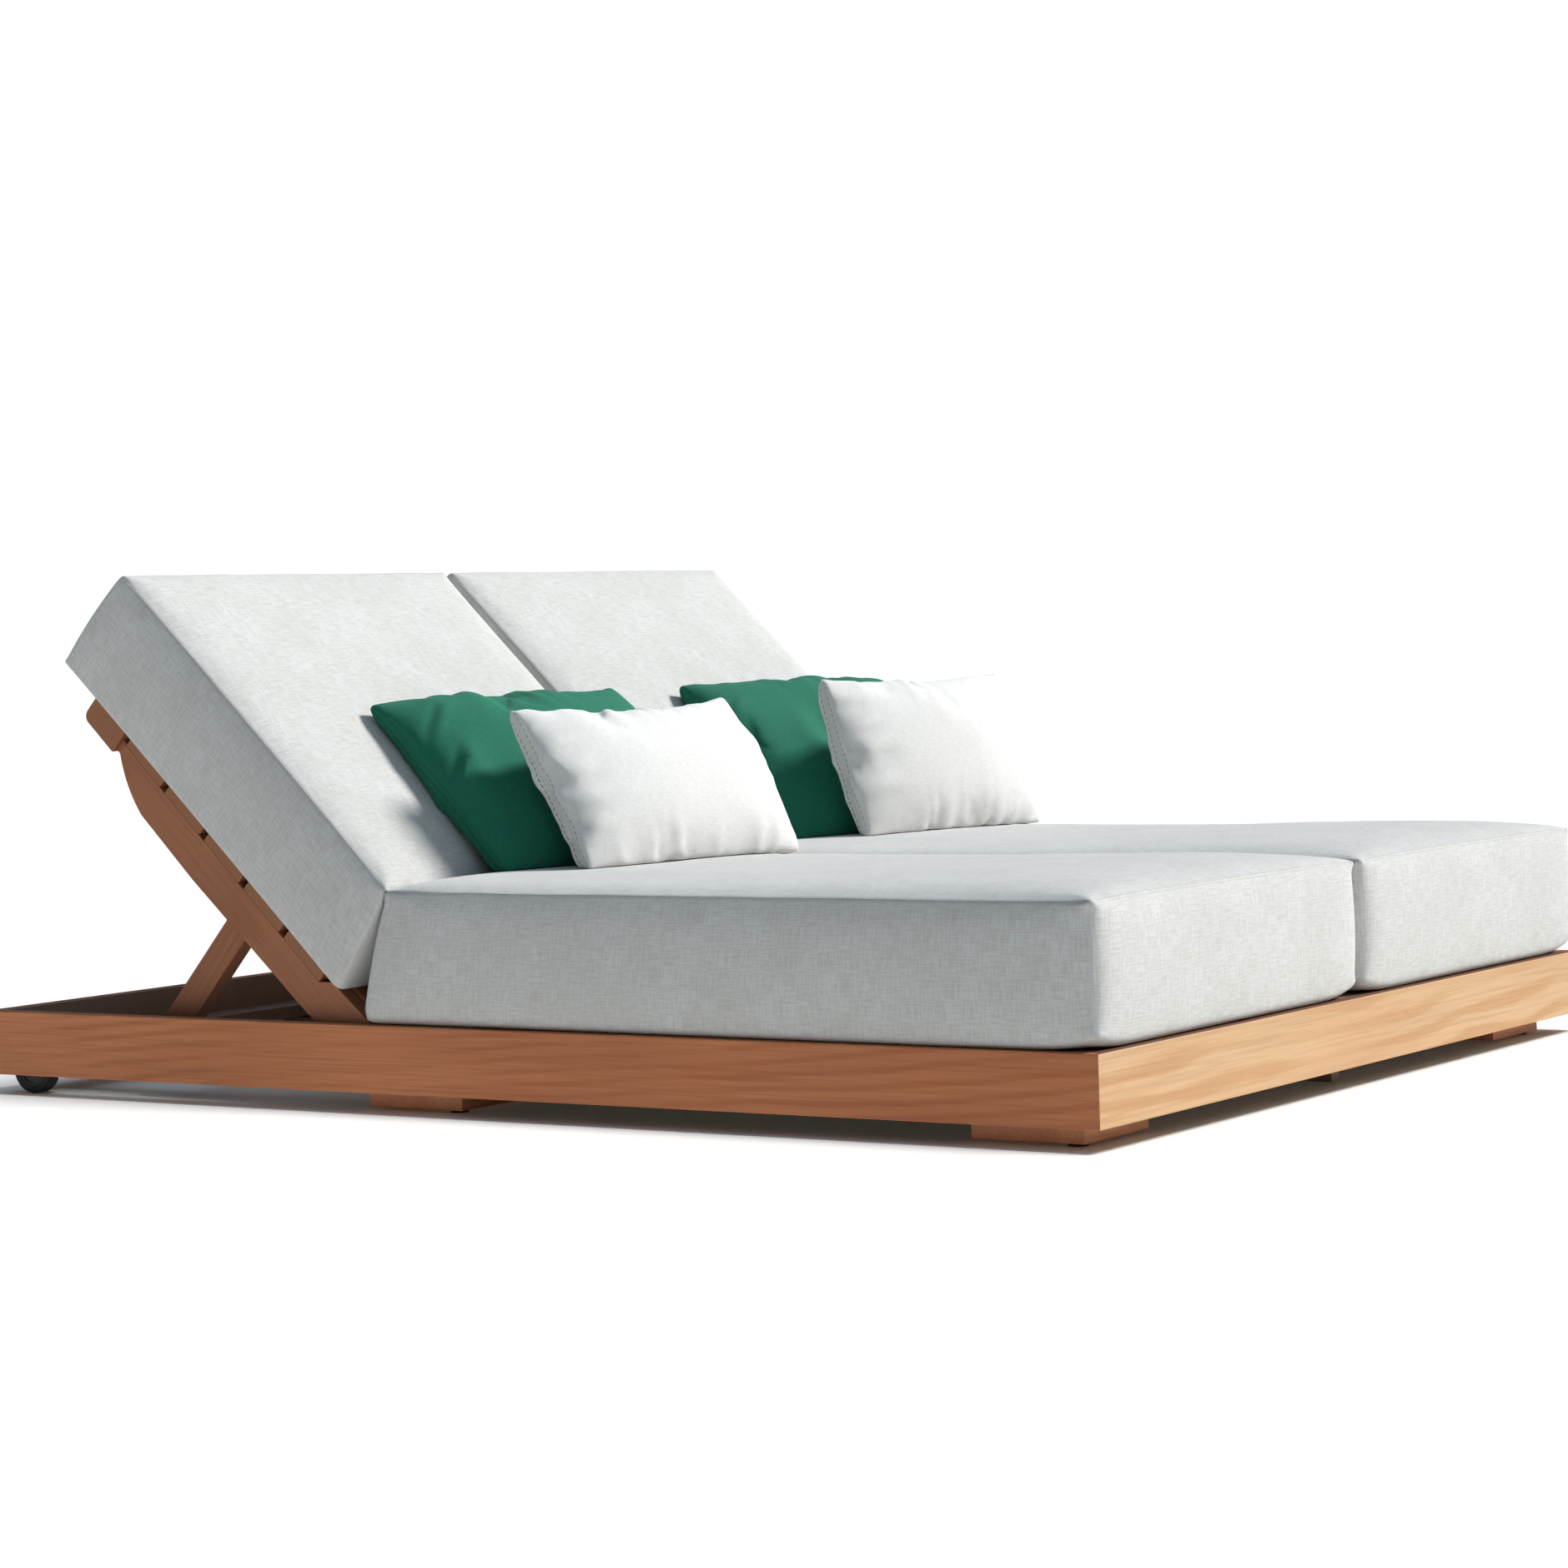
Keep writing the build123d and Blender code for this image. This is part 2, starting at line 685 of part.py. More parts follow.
os.makedirs("parts", exist_ok=True)
for node, shape in parts.items():
    export_step(shape, os.path.join("parts", node + ".step"))
print("hinge", round(hinge_y, 3), round(hinge_z, 3))
print("prop pivot", round(prop_y, 3), round(prop_z, 3), "bar", round(bar_y, 3), round(bar_z, 3))
print("wheel", round(wheel_x - wheel_width / 2, 3), round(wheel_y, 3), round(wheel_radius, 3))
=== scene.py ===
# %% [markdown]
# # A double chaise lounger
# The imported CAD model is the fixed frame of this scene. Its boards, pins, wheels and
# glides stay as they are and get finishes here. Its eight plain cushion and pillow
# solids are replaced by sewn, filled ones that sit in the same places.

import math

import bmesh
import bpy
from mathutils import Matrix, Vector, noise
from mathutils.bvhtree import BVHTree


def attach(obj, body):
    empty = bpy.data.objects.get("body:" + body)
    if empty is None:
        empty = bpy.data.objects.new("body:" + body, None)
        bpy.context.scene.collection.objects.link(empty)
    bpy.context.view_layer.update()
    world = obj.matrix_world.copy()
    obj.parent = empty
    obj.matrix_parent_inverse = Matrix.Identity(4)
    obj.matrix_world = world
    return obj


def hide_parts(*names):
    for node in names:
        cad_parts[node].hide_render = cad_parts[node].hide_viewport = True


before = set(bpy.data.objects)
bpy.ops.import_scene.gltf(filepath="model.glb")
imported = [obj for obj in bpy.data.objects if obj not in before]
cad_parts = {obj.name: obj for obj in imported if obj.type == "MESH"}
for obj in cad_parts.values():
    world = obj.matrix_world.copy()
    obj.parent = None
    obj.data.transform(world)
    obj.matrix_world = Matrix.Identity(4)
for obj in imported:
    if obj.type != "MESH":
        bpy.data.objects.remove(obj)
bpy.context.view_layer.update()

# %% [markdown]
# ## Camera
# The photograph was taken from low down, off the corner of the foot end, with a
# long lens. The place and the turn come from a fit of the base's corners and the
# backrest's edges to the picture, so the render can be laid over it.

# %% Camera
photo_width = 1880
focal_length_px = 4748.32
camera_place = Vector((-5.2678, -3.5246, 0.6970))
camera_azimuth, camera_elevation, camera_roll = (math.radians(a) for a in (-56.15, 2.26, -1.76))
sensor_width_mm = 36.0
near_clip, far_clip = 0.1, 200.0


def make_camera():
    back = Vector((math.sin(camera_azimuth) * math.cos(camera_elevation),
                   -math.cos(camera_azimuth) * math.cos(camera_elevation),
                   math.sin(camera_elevation)))
    right = (-back).cross(Vector((0, 0, 1))).normalized()
    up = right.cross(-back)
    turned_right = math.cos(camera_roll) * right + math.sin(camera_roll) * up
    turned_up = -math.sin(camera_roll) * right + math.cos(camera_roll) * up
    data = bpy.data.cameras.new("photo_camera")
    data.sensor_fit = "HORIZONTAL"
    data.sensor_width = sensor_width_mm
    data.lens = focal_length_px / photo_width * data.sensor_width
    data.clip_start, data.clip_end = near_clip, far_clip
    camera = bpy.data.objects.new("photo_camera", data)
    bpy.context.scene.collection.objects.link(camera)
    axes = Matrix((turned_right, turned_up, back)).transposed()
    camera.matrix_world = Matrix.Translation(camera_place) @ axes.to_4x4()
    bpy.context.scene.camera = camera
    return camera


camera = make_camera()
print("camera lens", round(camera.data.lens, 2), "mm at", [round(c, 3) for c in camera_place])

# %% [markdown]
# ## Studio
# One far, broad lamp stands to the right of the foot end. It gives the bright foot
# faces, the grey side and the soft shadows that the pillows throw to the left. Two
# things have a lamp of their own instead, by light linking. The white floor has a
# steeper one, so the shadow round the base stays as narrow as in the photograph. The
# green pillows have one that stands more to the side, set once they are made. The
# surroundings are dim, warm below and cool above.

# %% Floor, lamps and sky
floor_half, floor_cells = 40.0, 8
lamp_distance = 5.0


def add_node(tree, kind, place=(0, 0), **settings):
    """A shader node; settings whose names are sockets go to those sockets."""
    node = tree.nodes.new(kind)
    node.location = place
    for key, value in settings.items():
        if key in node.inputs:
            node.inputs[key].default_value = value
        else:
            setattr(node, key, value)
    return node


def new_material(name):
    """An empty node material with a Principled shader on its output."""
    material = bpy.data.materials.new(name)
    material.use_nodes = True
    tree = material.node_tree
    tree.nodes.clear()
    shader = add_node(tree, "ShaderNodeBsdfPrincipled", (900, 0))
    output = add_node(tree, "ShaderNodeOutputMaterial", (1200, 0))
    tree.links.new(shader.outputs["BSDF"], output.inputs["Surface"])
    return material, tree, shader


def make_floor():
    bm = bmesh.new()
    bmesh.ops.create_grid(bm, x_segments=floor_cells, y_segments=floor_cells, size=floor_half)
    mesh = bpy.data.meshes.new("studio_floor")
    bm.to_mesh(mesh)
    bm.free()
    floor = bpy.data.objects.new("studio_floor", mesh)
    bpy.context.scene.collection.objects.link(floor)
    material, _, shader = new_material("studio_white")
    shader.inputs["Base Color"].default_value = (0.96, 0.95, 0.935, 1)
    shader.inputs["Roughness"].default_value = 0.9
    shader.inputs["Specular IOR Level"].default_value = 0.1
    shader.inputs["Emission Color"].default_value = (1.0, 0.98, 0.80, 1)
    shader.inputs["Emission Strength"].default_value = 0.022
    mesh.materials.append(material)
    return floor


def make_key(name, toward, spread, strength, colour):
    """A far lamp whose disc is spread degrees wide, so that its shadows are soft."""
    data = bpy.data.lights.new(name, "SUN")
    data.angle = math.radians(spread)
    data.energy = strength
    data.color = colour
    lamp = bpy.data.objects.new(name, data)
    lamp.location = Vector(toward) * lamp_distance
    lamp.rotation_euler = Vector(toward).to_track_quat("Z", "Y").to_euler()
    bpy.context.scene.collection.objects.link(lamp)
    return lamp


def limit_lamp(lamp, state, *things):
    """Makes a lamp light only some things (INCLUDE) or all but those things (EXCLUDE)."""
    group = bpy.data.collections.new(lamp.name + "_reach")
    for thing in things:
        group.objects.link(thing)
    for member in group.collection_objects:
        member.light_linking.link_state = state
    lamp.light_linking.receiver_collection = group


def make_sky(seen, low, high):
    """Surroundings, dim and warm below and cool above, seen as a white backdrop."""
    world = bpy.data.worlds.new("studio_sky")
    world.use_nodes = True
    bpy.context.scene.world = world
    tree = world.node_tree
    tree.nodes.clear()
    place = add_node(tree, "ShaderNodeTexCoord")
    parts = add_node(tree, "ShaderNodeSeparateXYZ")
    tree.links.new(place.outputs["Generated"], parts.inputs[0])
    rise = add_node(tree, "ShaderNodeMapRange")
    tree.links.new(parts.outputs["Z"], rise.inputs["Value"])
    rise.inputs["From Min"].default_value, rise.inputs["From Max"].default_value = 0.1, 0.85
    tint = add_node(tree, "ShaderNodeMix", data_type="RGBA")
    tree.links.new(rise.outputs["Result"], tint.inputs[0])
    tint.inputs[6].default_value, tint.inputs[7].default_value = (*low, 1), (*high, 1)
    fill = add_node(tree, "ShaderNodeBackground", Strength=1.0)
    tree.links.new(tint.outputs[2], fill.inputs["Color"])
    backdrop = add_node(tree, "ShaderNodeBackground", Color=(1, 1, 1, 1), Strength=seen)
    ray = add_node(tree, "ShaderNodeLightPath")
    both = add_node(tree, "ShaderNodeMixShader")
    output = add_node(tree, "ShaderNodeOutputWorld")
    tree.links.new(ray.outputs["Is Camera Ray"], both.inputs[0])
    tree.links.new(fill.outputs[0], both.inputs[1])
    tree.links.new(backdrop.outputs[0], both.inputs[2])
    tree.links.new(both.outputs[0], output.inputs["Surface"])


floor = make_floor()
key_lamp = make_key("key_lamp", (0.68, -0.46, 0.57), spread=14, strength=5.4, colour=(1.0, 0.99, 0.97))
floor_lamp = make_key("floor_lamp", (0.02, -0.42, 0.91), spread=24, strength=2.95,
                      colour=(1.0, 0.985, 0.95))
limit_lamp(floor_lamp, "INCLUDE", floor)
make_sky(seen=1.05, low=(0.060, 0.037, 0.012), high=(0.290, 0.392, 0.488))
bpy.context.scene.view_settings.view_transform = "Standard"
print("studio:", floor.name, key_lamp.data.energy, floor_lamp.data.energy)

# %% [markdown]
# ## Teak
# Oiled teak is an orange brown with long growth rings, short dark pores along the
# grain and slow changes of tone. The rings are a ring pattern about a log axis that
# lies a little askew to the board, because a sawn board cuts its log at an angle:
# that gives the long flames on wide faces. Each finish turns the pattern into the
# length of its boards. The pattern is laid in the frame that all boards share, so
# each board shows another piece of the log. Ends cut across the grain have a colour
# of their own. Painted shade is laid on the faces turned into the frame and on the
# strip under the cushion edge, and the boards inside the frame get a greyer painted
# shade colour.

# %% Teak finish
def link(tree, source, target):
    tree.links.new(source, target)


def mix_colours(tree, factor, first, second, place=(0, 0)):
    """Blends two colours; each may be a socket or a fixed colour."""
    node = add_node(tree, "ShaderNodeMix", place, data_type="RGBA")
    for socket, value in ((node.inputs[0], factor), (node.inputs[6], first), (node.inputs[7], second)):
        if isinstance(value, bpy.types.NodeSocket):
            link(tree, value, socket)
        elif socket == node.inputs[0]:
            socket.default_value = value
        else:
            socket.default_value = (*value, 1)
    return node.outputs[2]


def reach(tree, source, low, high, to_low=0.0, to_high=1.0, place=(0, 0)):
    """Maps a value from one range to another, smoothly."""
    node = add_node(tree, "ShaderNodeMapRange", place)
    node.interpolation_type = "SMOOTHSTEP"
    link(tree, source, node.inputs["Value"])
    for name, value in (("From Min", low), ("From Max", high), ("To Min", to_low), ("To Max", to_high)):
        node.inputs[name].default_value = value
    return node.outputs["Result"]


def math_node(tree, operation, first, second, place=(0, 0)):
    """One sum or product; each side may be a socket or a number."""
    node = add_node(tree, "ShaderNodeMath", place, operation=operation)
    for socket, value in zip(node.inputs, (first, second)):
        if isinstance(value, bpy.types.NodeSocket):
            link(tree, value, socket)
        else:
            socket.default_value = value
    return node.outputs[0]


def stretched(tree, source, kind, scale, place, **settings):
    """A texture of a kind on coordinates scaled by scale along each axis."""
    mapping = add_node(tree, "ShaderNodeMapping", place)
    mapping.inputs["Scale"].default_value = scale
    link(tree, source, mapping.inputs["Vector"])
    texture = add_node(tree, kind, (place[0] + 300, place[1]), **settings)
    link(tree, mapping.outputs[0], texture.inputs["Vector"])
    return texture.outputs["Fac"]


def shaded_part(tree, place, body, part):
    """Another colour past a distance from the middle: end grain, or painted shade on a face turned in or
    under the cushion edge.
    """
    axis, start, full, colour = part
    parts = add_node(tree, "ShaderNodeSeparateXYZ", (-1200, 600))
    link(tree, place, parts.inputs[0])
    off_middle = math_node(tree, "ABSOLUTE", parts.outputs[axis], 0.0, (-1000, 600))
    share = reach(tree, off_middle, start, full, place=(-800, 600))
    return mix_colours(tree, share, body, colour, place=(500, 100))


def teak_patterns(tree, board, ring_scale, waver):
    """The rings, pores, slow tone, fine lines and figure of one log."""
    skew = add_node(tree, "ShaderNodeMapping", (-1200, 200))
    skew.inputs["Rotation"].default_value = (math.radians(2.4), 0, math.radians(1.7))
    link(tree, board, skew.inputs["Vector"])
    rings = stretched(tree, skew.outputs[0], "ShaderNodeTexWave", (1, 0.22, 1), (-1200, 200),
                      wave_type="RINGS", rings_direction="Y", wave_profile="SIN",
                      **{"Scale": ring_scale, "Distortion": waver, "Detail": 3.0,
                         "Detail Scale": 0.16, "Detail Roughness": 0.5})
    pores = stretched(tree, board, "ShaderNodeTexNoise", (320, 9, 320), (-1200, -100),
                      Scale=1.0, Detail=2.0, Roughness=0.6)
    tone = stretched(tree, board, "ShaderNodeTexNoise", (14, 1.6, 14), (-1200, -400),
                     Scale=1.0, Detail=3.0, Roughness=0.5)
    fine = stretched(tree, board, "ShaderNodeTexNoise", (230, 3.0, 230), (-1200, -700),
                     Scale=1.0, Detail=3.0, Roughness=0.6)
    figure = stretched(tree, board, "ShaderNodeTexNoise", (7, 2.4, 7), (-1200, -1000),
                       Scale=1.0, Detail=1.0, Roughness=0.4)
    return rings, pores, tone, fine, figure


def teak(name, turn, log_place, pale, deep, ring_scale=26.0, ring_show=0.6, waver=9.0, part=None):
    """Teak whose grain follows a board's length; turn brings that length to Y."""
    material, tree, shader = new_material(name)
    place = add_node(tree, "ShaderNodeTexCoord", (-1600, 0)).outputs["Object"]
    board = add_node(tree, "ShaderNodeMapping", (-1400, 0))
    board.inputs["Rotation"].default_value = turn
    board.inputs["Location"].default_value = log_place
    link(tree, place, board.inputs["Vector"])
    rings, pores, tone, fine, figure = teak_patterns(tree, board.outputs[0], ring_scale, waver)
    ring_tone = reach(tree, rings, 0.35, 1.0, 0.0, ring_show, place=(-600, 200))
    shown = reach(tree, figure, 0.38, 0.60, 0.25, 1.0, place=(-600, -1000))
    ring_share = math_node(tree, "MULTIPLY", ring_tone, shown, (-450, 200))
    patch = reach(tree, tone, 0.3, 0.75, 0.0, 0.55, place=(-600, -400))
    body = mix_colours(tree, ring_share, pale, deep, place=(-350, 200))
    body = mix_colours(tree, patch, body, deep, place=(-150, 100))
    pore_share = reach(tree, pores, 0.30, 0.44, 0.14, 0.0, place=(-600, -100))
    body = mix_colours(tree, pore_share, body, tuple(c * 0.45 for c in deep), place=(100, 0))
    line_share = reach(tree, fine, 0.42, 0.72, 0.0, 0.34, place=(-600, -700))
    body = mix_colours(tree, line_share, body, tuple(c * 0.72 for c in deep), place=(300, 0))
    if part:
        body = shaded_part(tree, place, body, part)
    link(tree, body, shader.inputs["Base Color"])
    link(tree, reach(tree, pores, 0.3, 0.6, 0.62, 0.46, place=(300, -200)), shader.inputs["Roughness"])
    shader.inputs["Specular IOR Level"].default_value = 0.28
    bump = add_node(tree, "ShaderNodeBump", (600, -300), Strength=0.25, Distance=0.0005)
    link(tree, pores, bump.inputs["Height"])
    link(tree, bump.outputs[0], shader.inputs["Normal"])
    return material


back_angle = math.radians(43.7)
prop_angle = math.radians(48.2)
along_y = (0.0, 0.0, 0.0)
along_x = (0.0, 0.0, math.radians(90))
up_the_back = (-back_angle, 0.0, 0.0)
down_the_prop = (prop_angle, 0.0, 0.0)
honey, amber = (0.595, 0.378, 0.207), (0.49, 0.268, 0.120)
russet, chestnut = (0.58, 0.215, 0.089), (0.37, 0.115, 0.044)
tan, umber = (0.36, 0.142, 0.066), (0.26, 0.090, 0.040)
# Painted shade: the boards inside the frame get a greyer teak that stands for the shade there.
painted_shade_tan, painted_shade_umber = (0.26, 0.17, 0.12), (0.17, 0.105, 0.07)
block_tan, block_brown = (0.74, 0.33, 0.17), (0.62, 0.24, 0.115)
# The first colour here is the cut ends' own. The other two are painted shade: a grey-brown for faces turned
# into the frame, and a dark brown for the foot rail's top under the cushion edge.
end_grain, inside_painted_shade, under_cushion_painted_shade = (0.30, 0.125, 0.058), (0.40, 0.33, 0.27), (0.16, 0.070, 0.035)
slat_ends = ("X", 0.7709, 0.7715, end_grain)
# Painted shade on the faces of the side and head rails that are turned into the frame.
side_inside_painted_shade = ("X", 0.7765, 0.7755, inside_painted_shade)
head_inside_painted_shade = ("Y", 0.9815, 0.9805, inside_painted_shade)
# Painted shade on the top face of the foot rail, under the cushion's edge.
foot_top_painted_shade = ("Z", 0.1312, 0.1317, under_cushion_painted_shade)

teak_finishes = {
    "side": teak("teak_side_rails", along_y, (0.13, 0.3, 0.31), russet, chestnut, 30.0, 0.55, 13.0,
                 side_inside_painted_shade),
    "foot": teak("teak_foot_rail", along_x, (0.21, 0.4, 0.24), honey, amber, 26.0, 0.9, 16.0,
                 foot_top_painted_shade),
    "head": teak("teak_head_rail", along_x, (0.21, 0.4, 0.24), russet, chestnut, 26.0, 0.7, 16.0,
                 head_inside_painted_shade),
    "slope": teak("teak_back_rails", up_the_back, (0.11, 0.2, 0.12), tan, umber, 30.0, 0.5),
    "prop": teak("teak_props", down_the_prop, (0.09, 0.1, 0.18), tan, umber, 30.0, 0.5),
    "across": teak("teak_cross_boards", along_x, (0.17, 0.1, 0.09), tan, umber, 26.0, 0.5, part=slat_ends),
    "inside": teak("teak_inner_boards", along_x, (0.17, 0.1, 0.09), painted_shade_tan, painted_shade_umber, 26.0, 0.5),
    "along": teak("teak_long_boards", along_y, (0.2, 0.1, 0.14), painted_shade_tan, painted_shade_umber, 26.0, 0.5),
    "pad": teak("teak_foot_blocks", along_x, (0.3, 0.2, 0.1), block_tan, block_brown, 9.0, 0.15),
}


def dress(material, *nodes):
    """Gives carried-over CAD nodes a finish."""
    for name in nodes:
        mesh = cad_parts[name].data
        mesh.materials.clear()
        mesh.materials.append(material)


both = ("left", "right")
dress(teak_finishes["side"], *["side_rail_" + s for s in both])
dress(teak_finishes["foot"], "foot_rail")
dress(teak_finishes["head"], "head_rail")
dress(teak_finishes["slope"], *[f"back_rail_{p}_{s}" for p in ("outer", "inner") for s in both])
dress(teak_finishes["prop"], *[f"prop_leg_{p}_{s}" for p in ("outer", "inner") for s in both])
dress(teak_finishes["inside"], "foot_bearers", "middle_bearers", "seat_slats", "back_rest_boards")
dress(teak_finishes["across"], *["back_cross_rail_" + s for s in both],
      *["back_top_board_" + s for s in both],
      *[f"back_slat_{s}_{k}" for s in both for k in range(1, 6)])
dress(teak_finishes["along"], "centre_beam", "prop_racks", *["side_ledger_" + s for s in both])
dress(teak_finishes["pad"], *[f"foot_pad_{r}_{s}" for r in ("foot", "middle") for s in both])
print("teak finishes:", len(teak_finishes))

# %% [markdown]
# ## Dowels, steel, plastic and rubber
# Small parts get the fine detail that shows close up: end grain on the dowels, lines
# of brushing round the steel, a fine moulded grain on the plastic and the rubber.

# %% Small-part finishes
def grained(name, colour, variation, scale, stretch, roughness, metallic=0.0, bump_depth=0.0002):
    """A plain colour broken by a stretched fine noise, with bump and roughness from it."""
    material, tree, shader = new_material(name)
    place = add_node(tree, "ShaderNodeTexCoord", (-1200, 0)).outputs["Object"]
    grain = stretched(tree, place, "ShaderNodeTexNoise", stretch, (-1000, 0),
                      Scale=scale, Detail=4.0, Roughness=0.6)
    share = reach(tree, grain, 0.3, 0.7, place=(-500, 100))
    darker = tuple(c * (1 - variation) for c in colour)
    lighter = tuple(min(1.0, c * (1 + variation)) for c in colour)
    link(tree, mix_colours(tree, share, darker, lighter, place=(-200, 100)), shader.inputs["Base Color"])
    rough = reach(tree, grain, 0.3, 0.7, roughness - 0.06, roughness + 0.06, place=(-200, -100))
    link(tree, rough, shader.inputs["Roughness"])
    shader.inputs["Metallic"].default_value = metallic
    bump = add_node(tree, "ShaderNodeBump", (200, -300), Strength=0.3, Distance=bump_depth)
    link(tree, grain, bump.inputs["Height"])
    link(tree, bump.outputs[0], shader.inputs["Normal"])
    return material


dowel_wood = grained("dowel_end_grain", (0.60, 0.40, 0.23), 0.2, 500, (1, 1, 1), 0.6)
brushed_steel = grained("brushed_stainless", (0.60, 0.59, 0.57), 0.1, 300, (12, 1, 1), 0.32, 1.0, 0.0001)
black_plastic = grained("moulded_plastic", (0.022, 0.022, 0.023), 0.25, 900, (1, 1, 1), 0.5)
black_rubber = grained("tyre_rubber", (0.016, 0.016, 0.017), 0.3, 600, (1, 1, 1), 0.72)
dress(dowel_wood, "mitre_dowels")
dress(brushed_steel, "hinge_pins", "wheel_axles", "foot_screws", *["prop_pins_" + s for s in both],
      *["prop_bar_" + s for s in both])
dress(black_plastic, "foot_glides", *["wheel_hub_" + s for s in both])
dress(black_rubber, *["wheel_tyre_" + s for s in both])
print("small-part finishes: 4")

# %% [markdown]
# ## Woven cloth
# The cushion cover is a melange plain weave: yarns of slightly different greys cross
# at right angles, and thicker slubs run along some of them. The pattern reads the
# piece's own map, laid out in metres along the cloth, so the yarns keep their size
# and turn with each panel. A second map gives the distance from the nearest seam and
# the way along it, for the dark line of the seam and the row of stitches beside it.

# %% Cloth finish
wave_scale = 0.314159  # a wave texture of this scale has one band a unit


def seam_marks(tree, stitch_at, stitch_long):
    """How much seam and how much stitch there is at a point, each from 0 to 1."""
    place = add_node(tree, "ShaderNodeUVMap", (-1800, -1400), uv_map="Seam")
    parts = add_node(tree, "ShaderNodeSeparateXYZ", (-1600, -1400))
    link(tree, place.outputs[0], parts.inputs[0])
    groove = reach(tree, parts.outputs["X"], 0.0002, 0.0015, 1.0, 0.0, place=(-1300, -1300))
    off_line = math_node(tree, "ABSOLUTE",
                         math_node(tree, "SUBTRACT", parts.outputs["X"], stitch_at, (-1300, -1500)), 0.0,
                         (-1150, -1500))
    line = reach(tree, off_line, 0.0002, 0.0007, 1.0, 0.0, place=(-1000, -1500))
    turn = math_node(tree, "PINGPONG", parts.outputs["Y"], stitch_long, (-1300, -1700))
    dash = reach(tree, turn, 0.25 * stitch_long, 0.4 * stitch_long, place=(-1000, -1700))
    return groove, math_node(tree, "MULTIPLY", line, dash, (-800, -1600))


def slub_pattern(tree, place, slub_wide, slub_long, slub_show):
    """How much slub there is at a point, from slubs that run both ways."""
    per_width, per_length = 1 / slub_wide, 1 / slub_long
    slubs = []
    for turn, (across, along) in enumerate(((per_width, per_length), (per_length, per_width))):
        stretch = add_node(tree, "ShaderNodeMapping", (-1600, -300 * turn))
        stretch.inputs["Scale"].default_value = (across, along, 1)
        stretch.inputs["Location"].default_value = (37.0 * turn, 11.0 * turn, 0)
        link(tree, place, stretch.inputs["Vector"])
        slub = add_node(tree, "ShaderNodeTexNoise", (-1400, -300 * turn), noise_dimensions="2D",
                        Scale=1.0, Detail=2.0, Roughness=0.65)
        link(tree, stretch.outputs[0], slub.inputs["Vector"])
        slubs.append(reach(tree, slub.outputs["Fac"], 0.34, 0.68, place=(-1200, -300 * turn)))
    both_ways = math_node(tree, "ADD", *slubs, (-950, -100))
    return reach(tree, both_ways, 0.35, 1.65, 0.0, slub_show, place=(-700, -100))


def yarn_crossings(tree, place, yarn):
    """The yarns both ways, multiplied: high where two cross and low between them."""
    yarns = []
    for turn, direction in enumerate(("X", "Y")):
        wave = add_node(tree, "ShaderNodeTexWave", (-1400, -700 - 250 * turn), wave_type="BANDS",
                        bands_direction=direction, wave_profile="SIN",
                        Scale=wave_scale / yarn, Distortion=0.6, Detail=1.0)
        link(tree, place, wave.inputs["Vector"])
        yarns.append(wave.outputs["Fac"])
    return math_node(tree, "MULTIPLY", *yarns, (-950, -700))


def woven(name, light, shade, slub_show, yarn=0.0016, slub_wide=0.0022, slub_long=0.03,
          sheen=0.12, thread=(0.3, 0.28, 0.26), stitch_at=0.0045, stitch_long=0.0035):
    """Plain weave with slubs both ways, from the map called Weave."""
    material, tree, shader = new_material(name)
    place = add_node(tree, "ShaderNodeUVMap", (-1800, 0), uv_map="Weave").outputs[0]
    slub_share = slub_pattern(tree, place, slub_wide, slub_long, slub_show)
    cross = yarn_crossings(tree, place, yarn)
    spread = add_node(tree, "ShaderNodeTexNoise", (-1400, 300), noise_dimensions="2D",
                      Scale=9.0, Detail=2.0, Roughness=0.5)
    link(tree, place, spread.inputs["Vector"])
    body = mix_colours(tree, slub_share, light, shade, place=(-400, 0))
    hollow = reach(tree, cross, 0.0, 0.5, 0.16, 0.0, place=(-600, -500))
    body = mix_colours(tree, hollow, body, tuple(c * 0.55 for c in shade), place=(-150, 0))
    slow = reach(tree, spread.outputs["Fac"], 0.3, 0.7, 0.0, 0.16, place=(-600, 300))
    body = mix_colours(tree, slow, body, shade, place=(100, 0))
    groove, stitch = seam_marks(tree, stitch_at, stitch_long)
    groove_share = math_node(tree, "MULTIPLY", groove, 0.35, (-200, -1300))
    body = mix_colours(tree, groove_share, body, tuple(c * 0.3 for c in shade), place=(300, 0))
    body = mix_colours(tree, stitch, body, thread, place=(500, 0))
    link(tree, body, shader.inputs["Base Color"])
    relief = math_node(tree, "ADD", cross, slub_share, (0, -500))
    bump = add_node(tree, "ShaderNodeBump", (500, -400), Strength=0.35, Distance=0.0005)
    link(tree, relief, bump.inputs["Height"])
    link(tree, bump.outputs[0], shader.inputs["Normal"])
    link(tree, reach(tree, relief, 0.0, 1.4, 0.97, 0.86, place=(300, -200)),
         shader.inputs["Roughness"])
    shader.inputs["Specular IOR Level"].default_value = 0.15
    shader.inputs["Sheen Weight"].default_value = sheen
    shader.inputs["Sheen Roughness"].default_value = 0.5
    return material


grey_weave = woven("melange_weave", (0.625, 0.628, 0.616), (0.425, 0.402, 0.372), 0.48,
                   slub_wide=0.0024, slub_long=0.032, thread=(0.40, 0.38, 0.35))
green_cloth = woven("green_weave", (0.020, 0.190, 0.115), (0.012, 0.120, 0.078), 0.5,
                    yarn=0.0012, slub_wide=0.0015, slub_long=0.010, sheen=0.03,
                    thread=(0.010, 0.075, 0.055), stitch_at=0.004)
light_linen = woven("linen_weave", (0.765, 0.760, 0.745), (0.60, 0.585, 0.56), 0.35,
                    yarn=0.0014, slub_wide=0.0020, slub_long=0.013,
                    thread=(0.24, 0.19, 0.15), stitch_at=0.0035, stitch_long=0.005)
print("cloth finishes: 3")

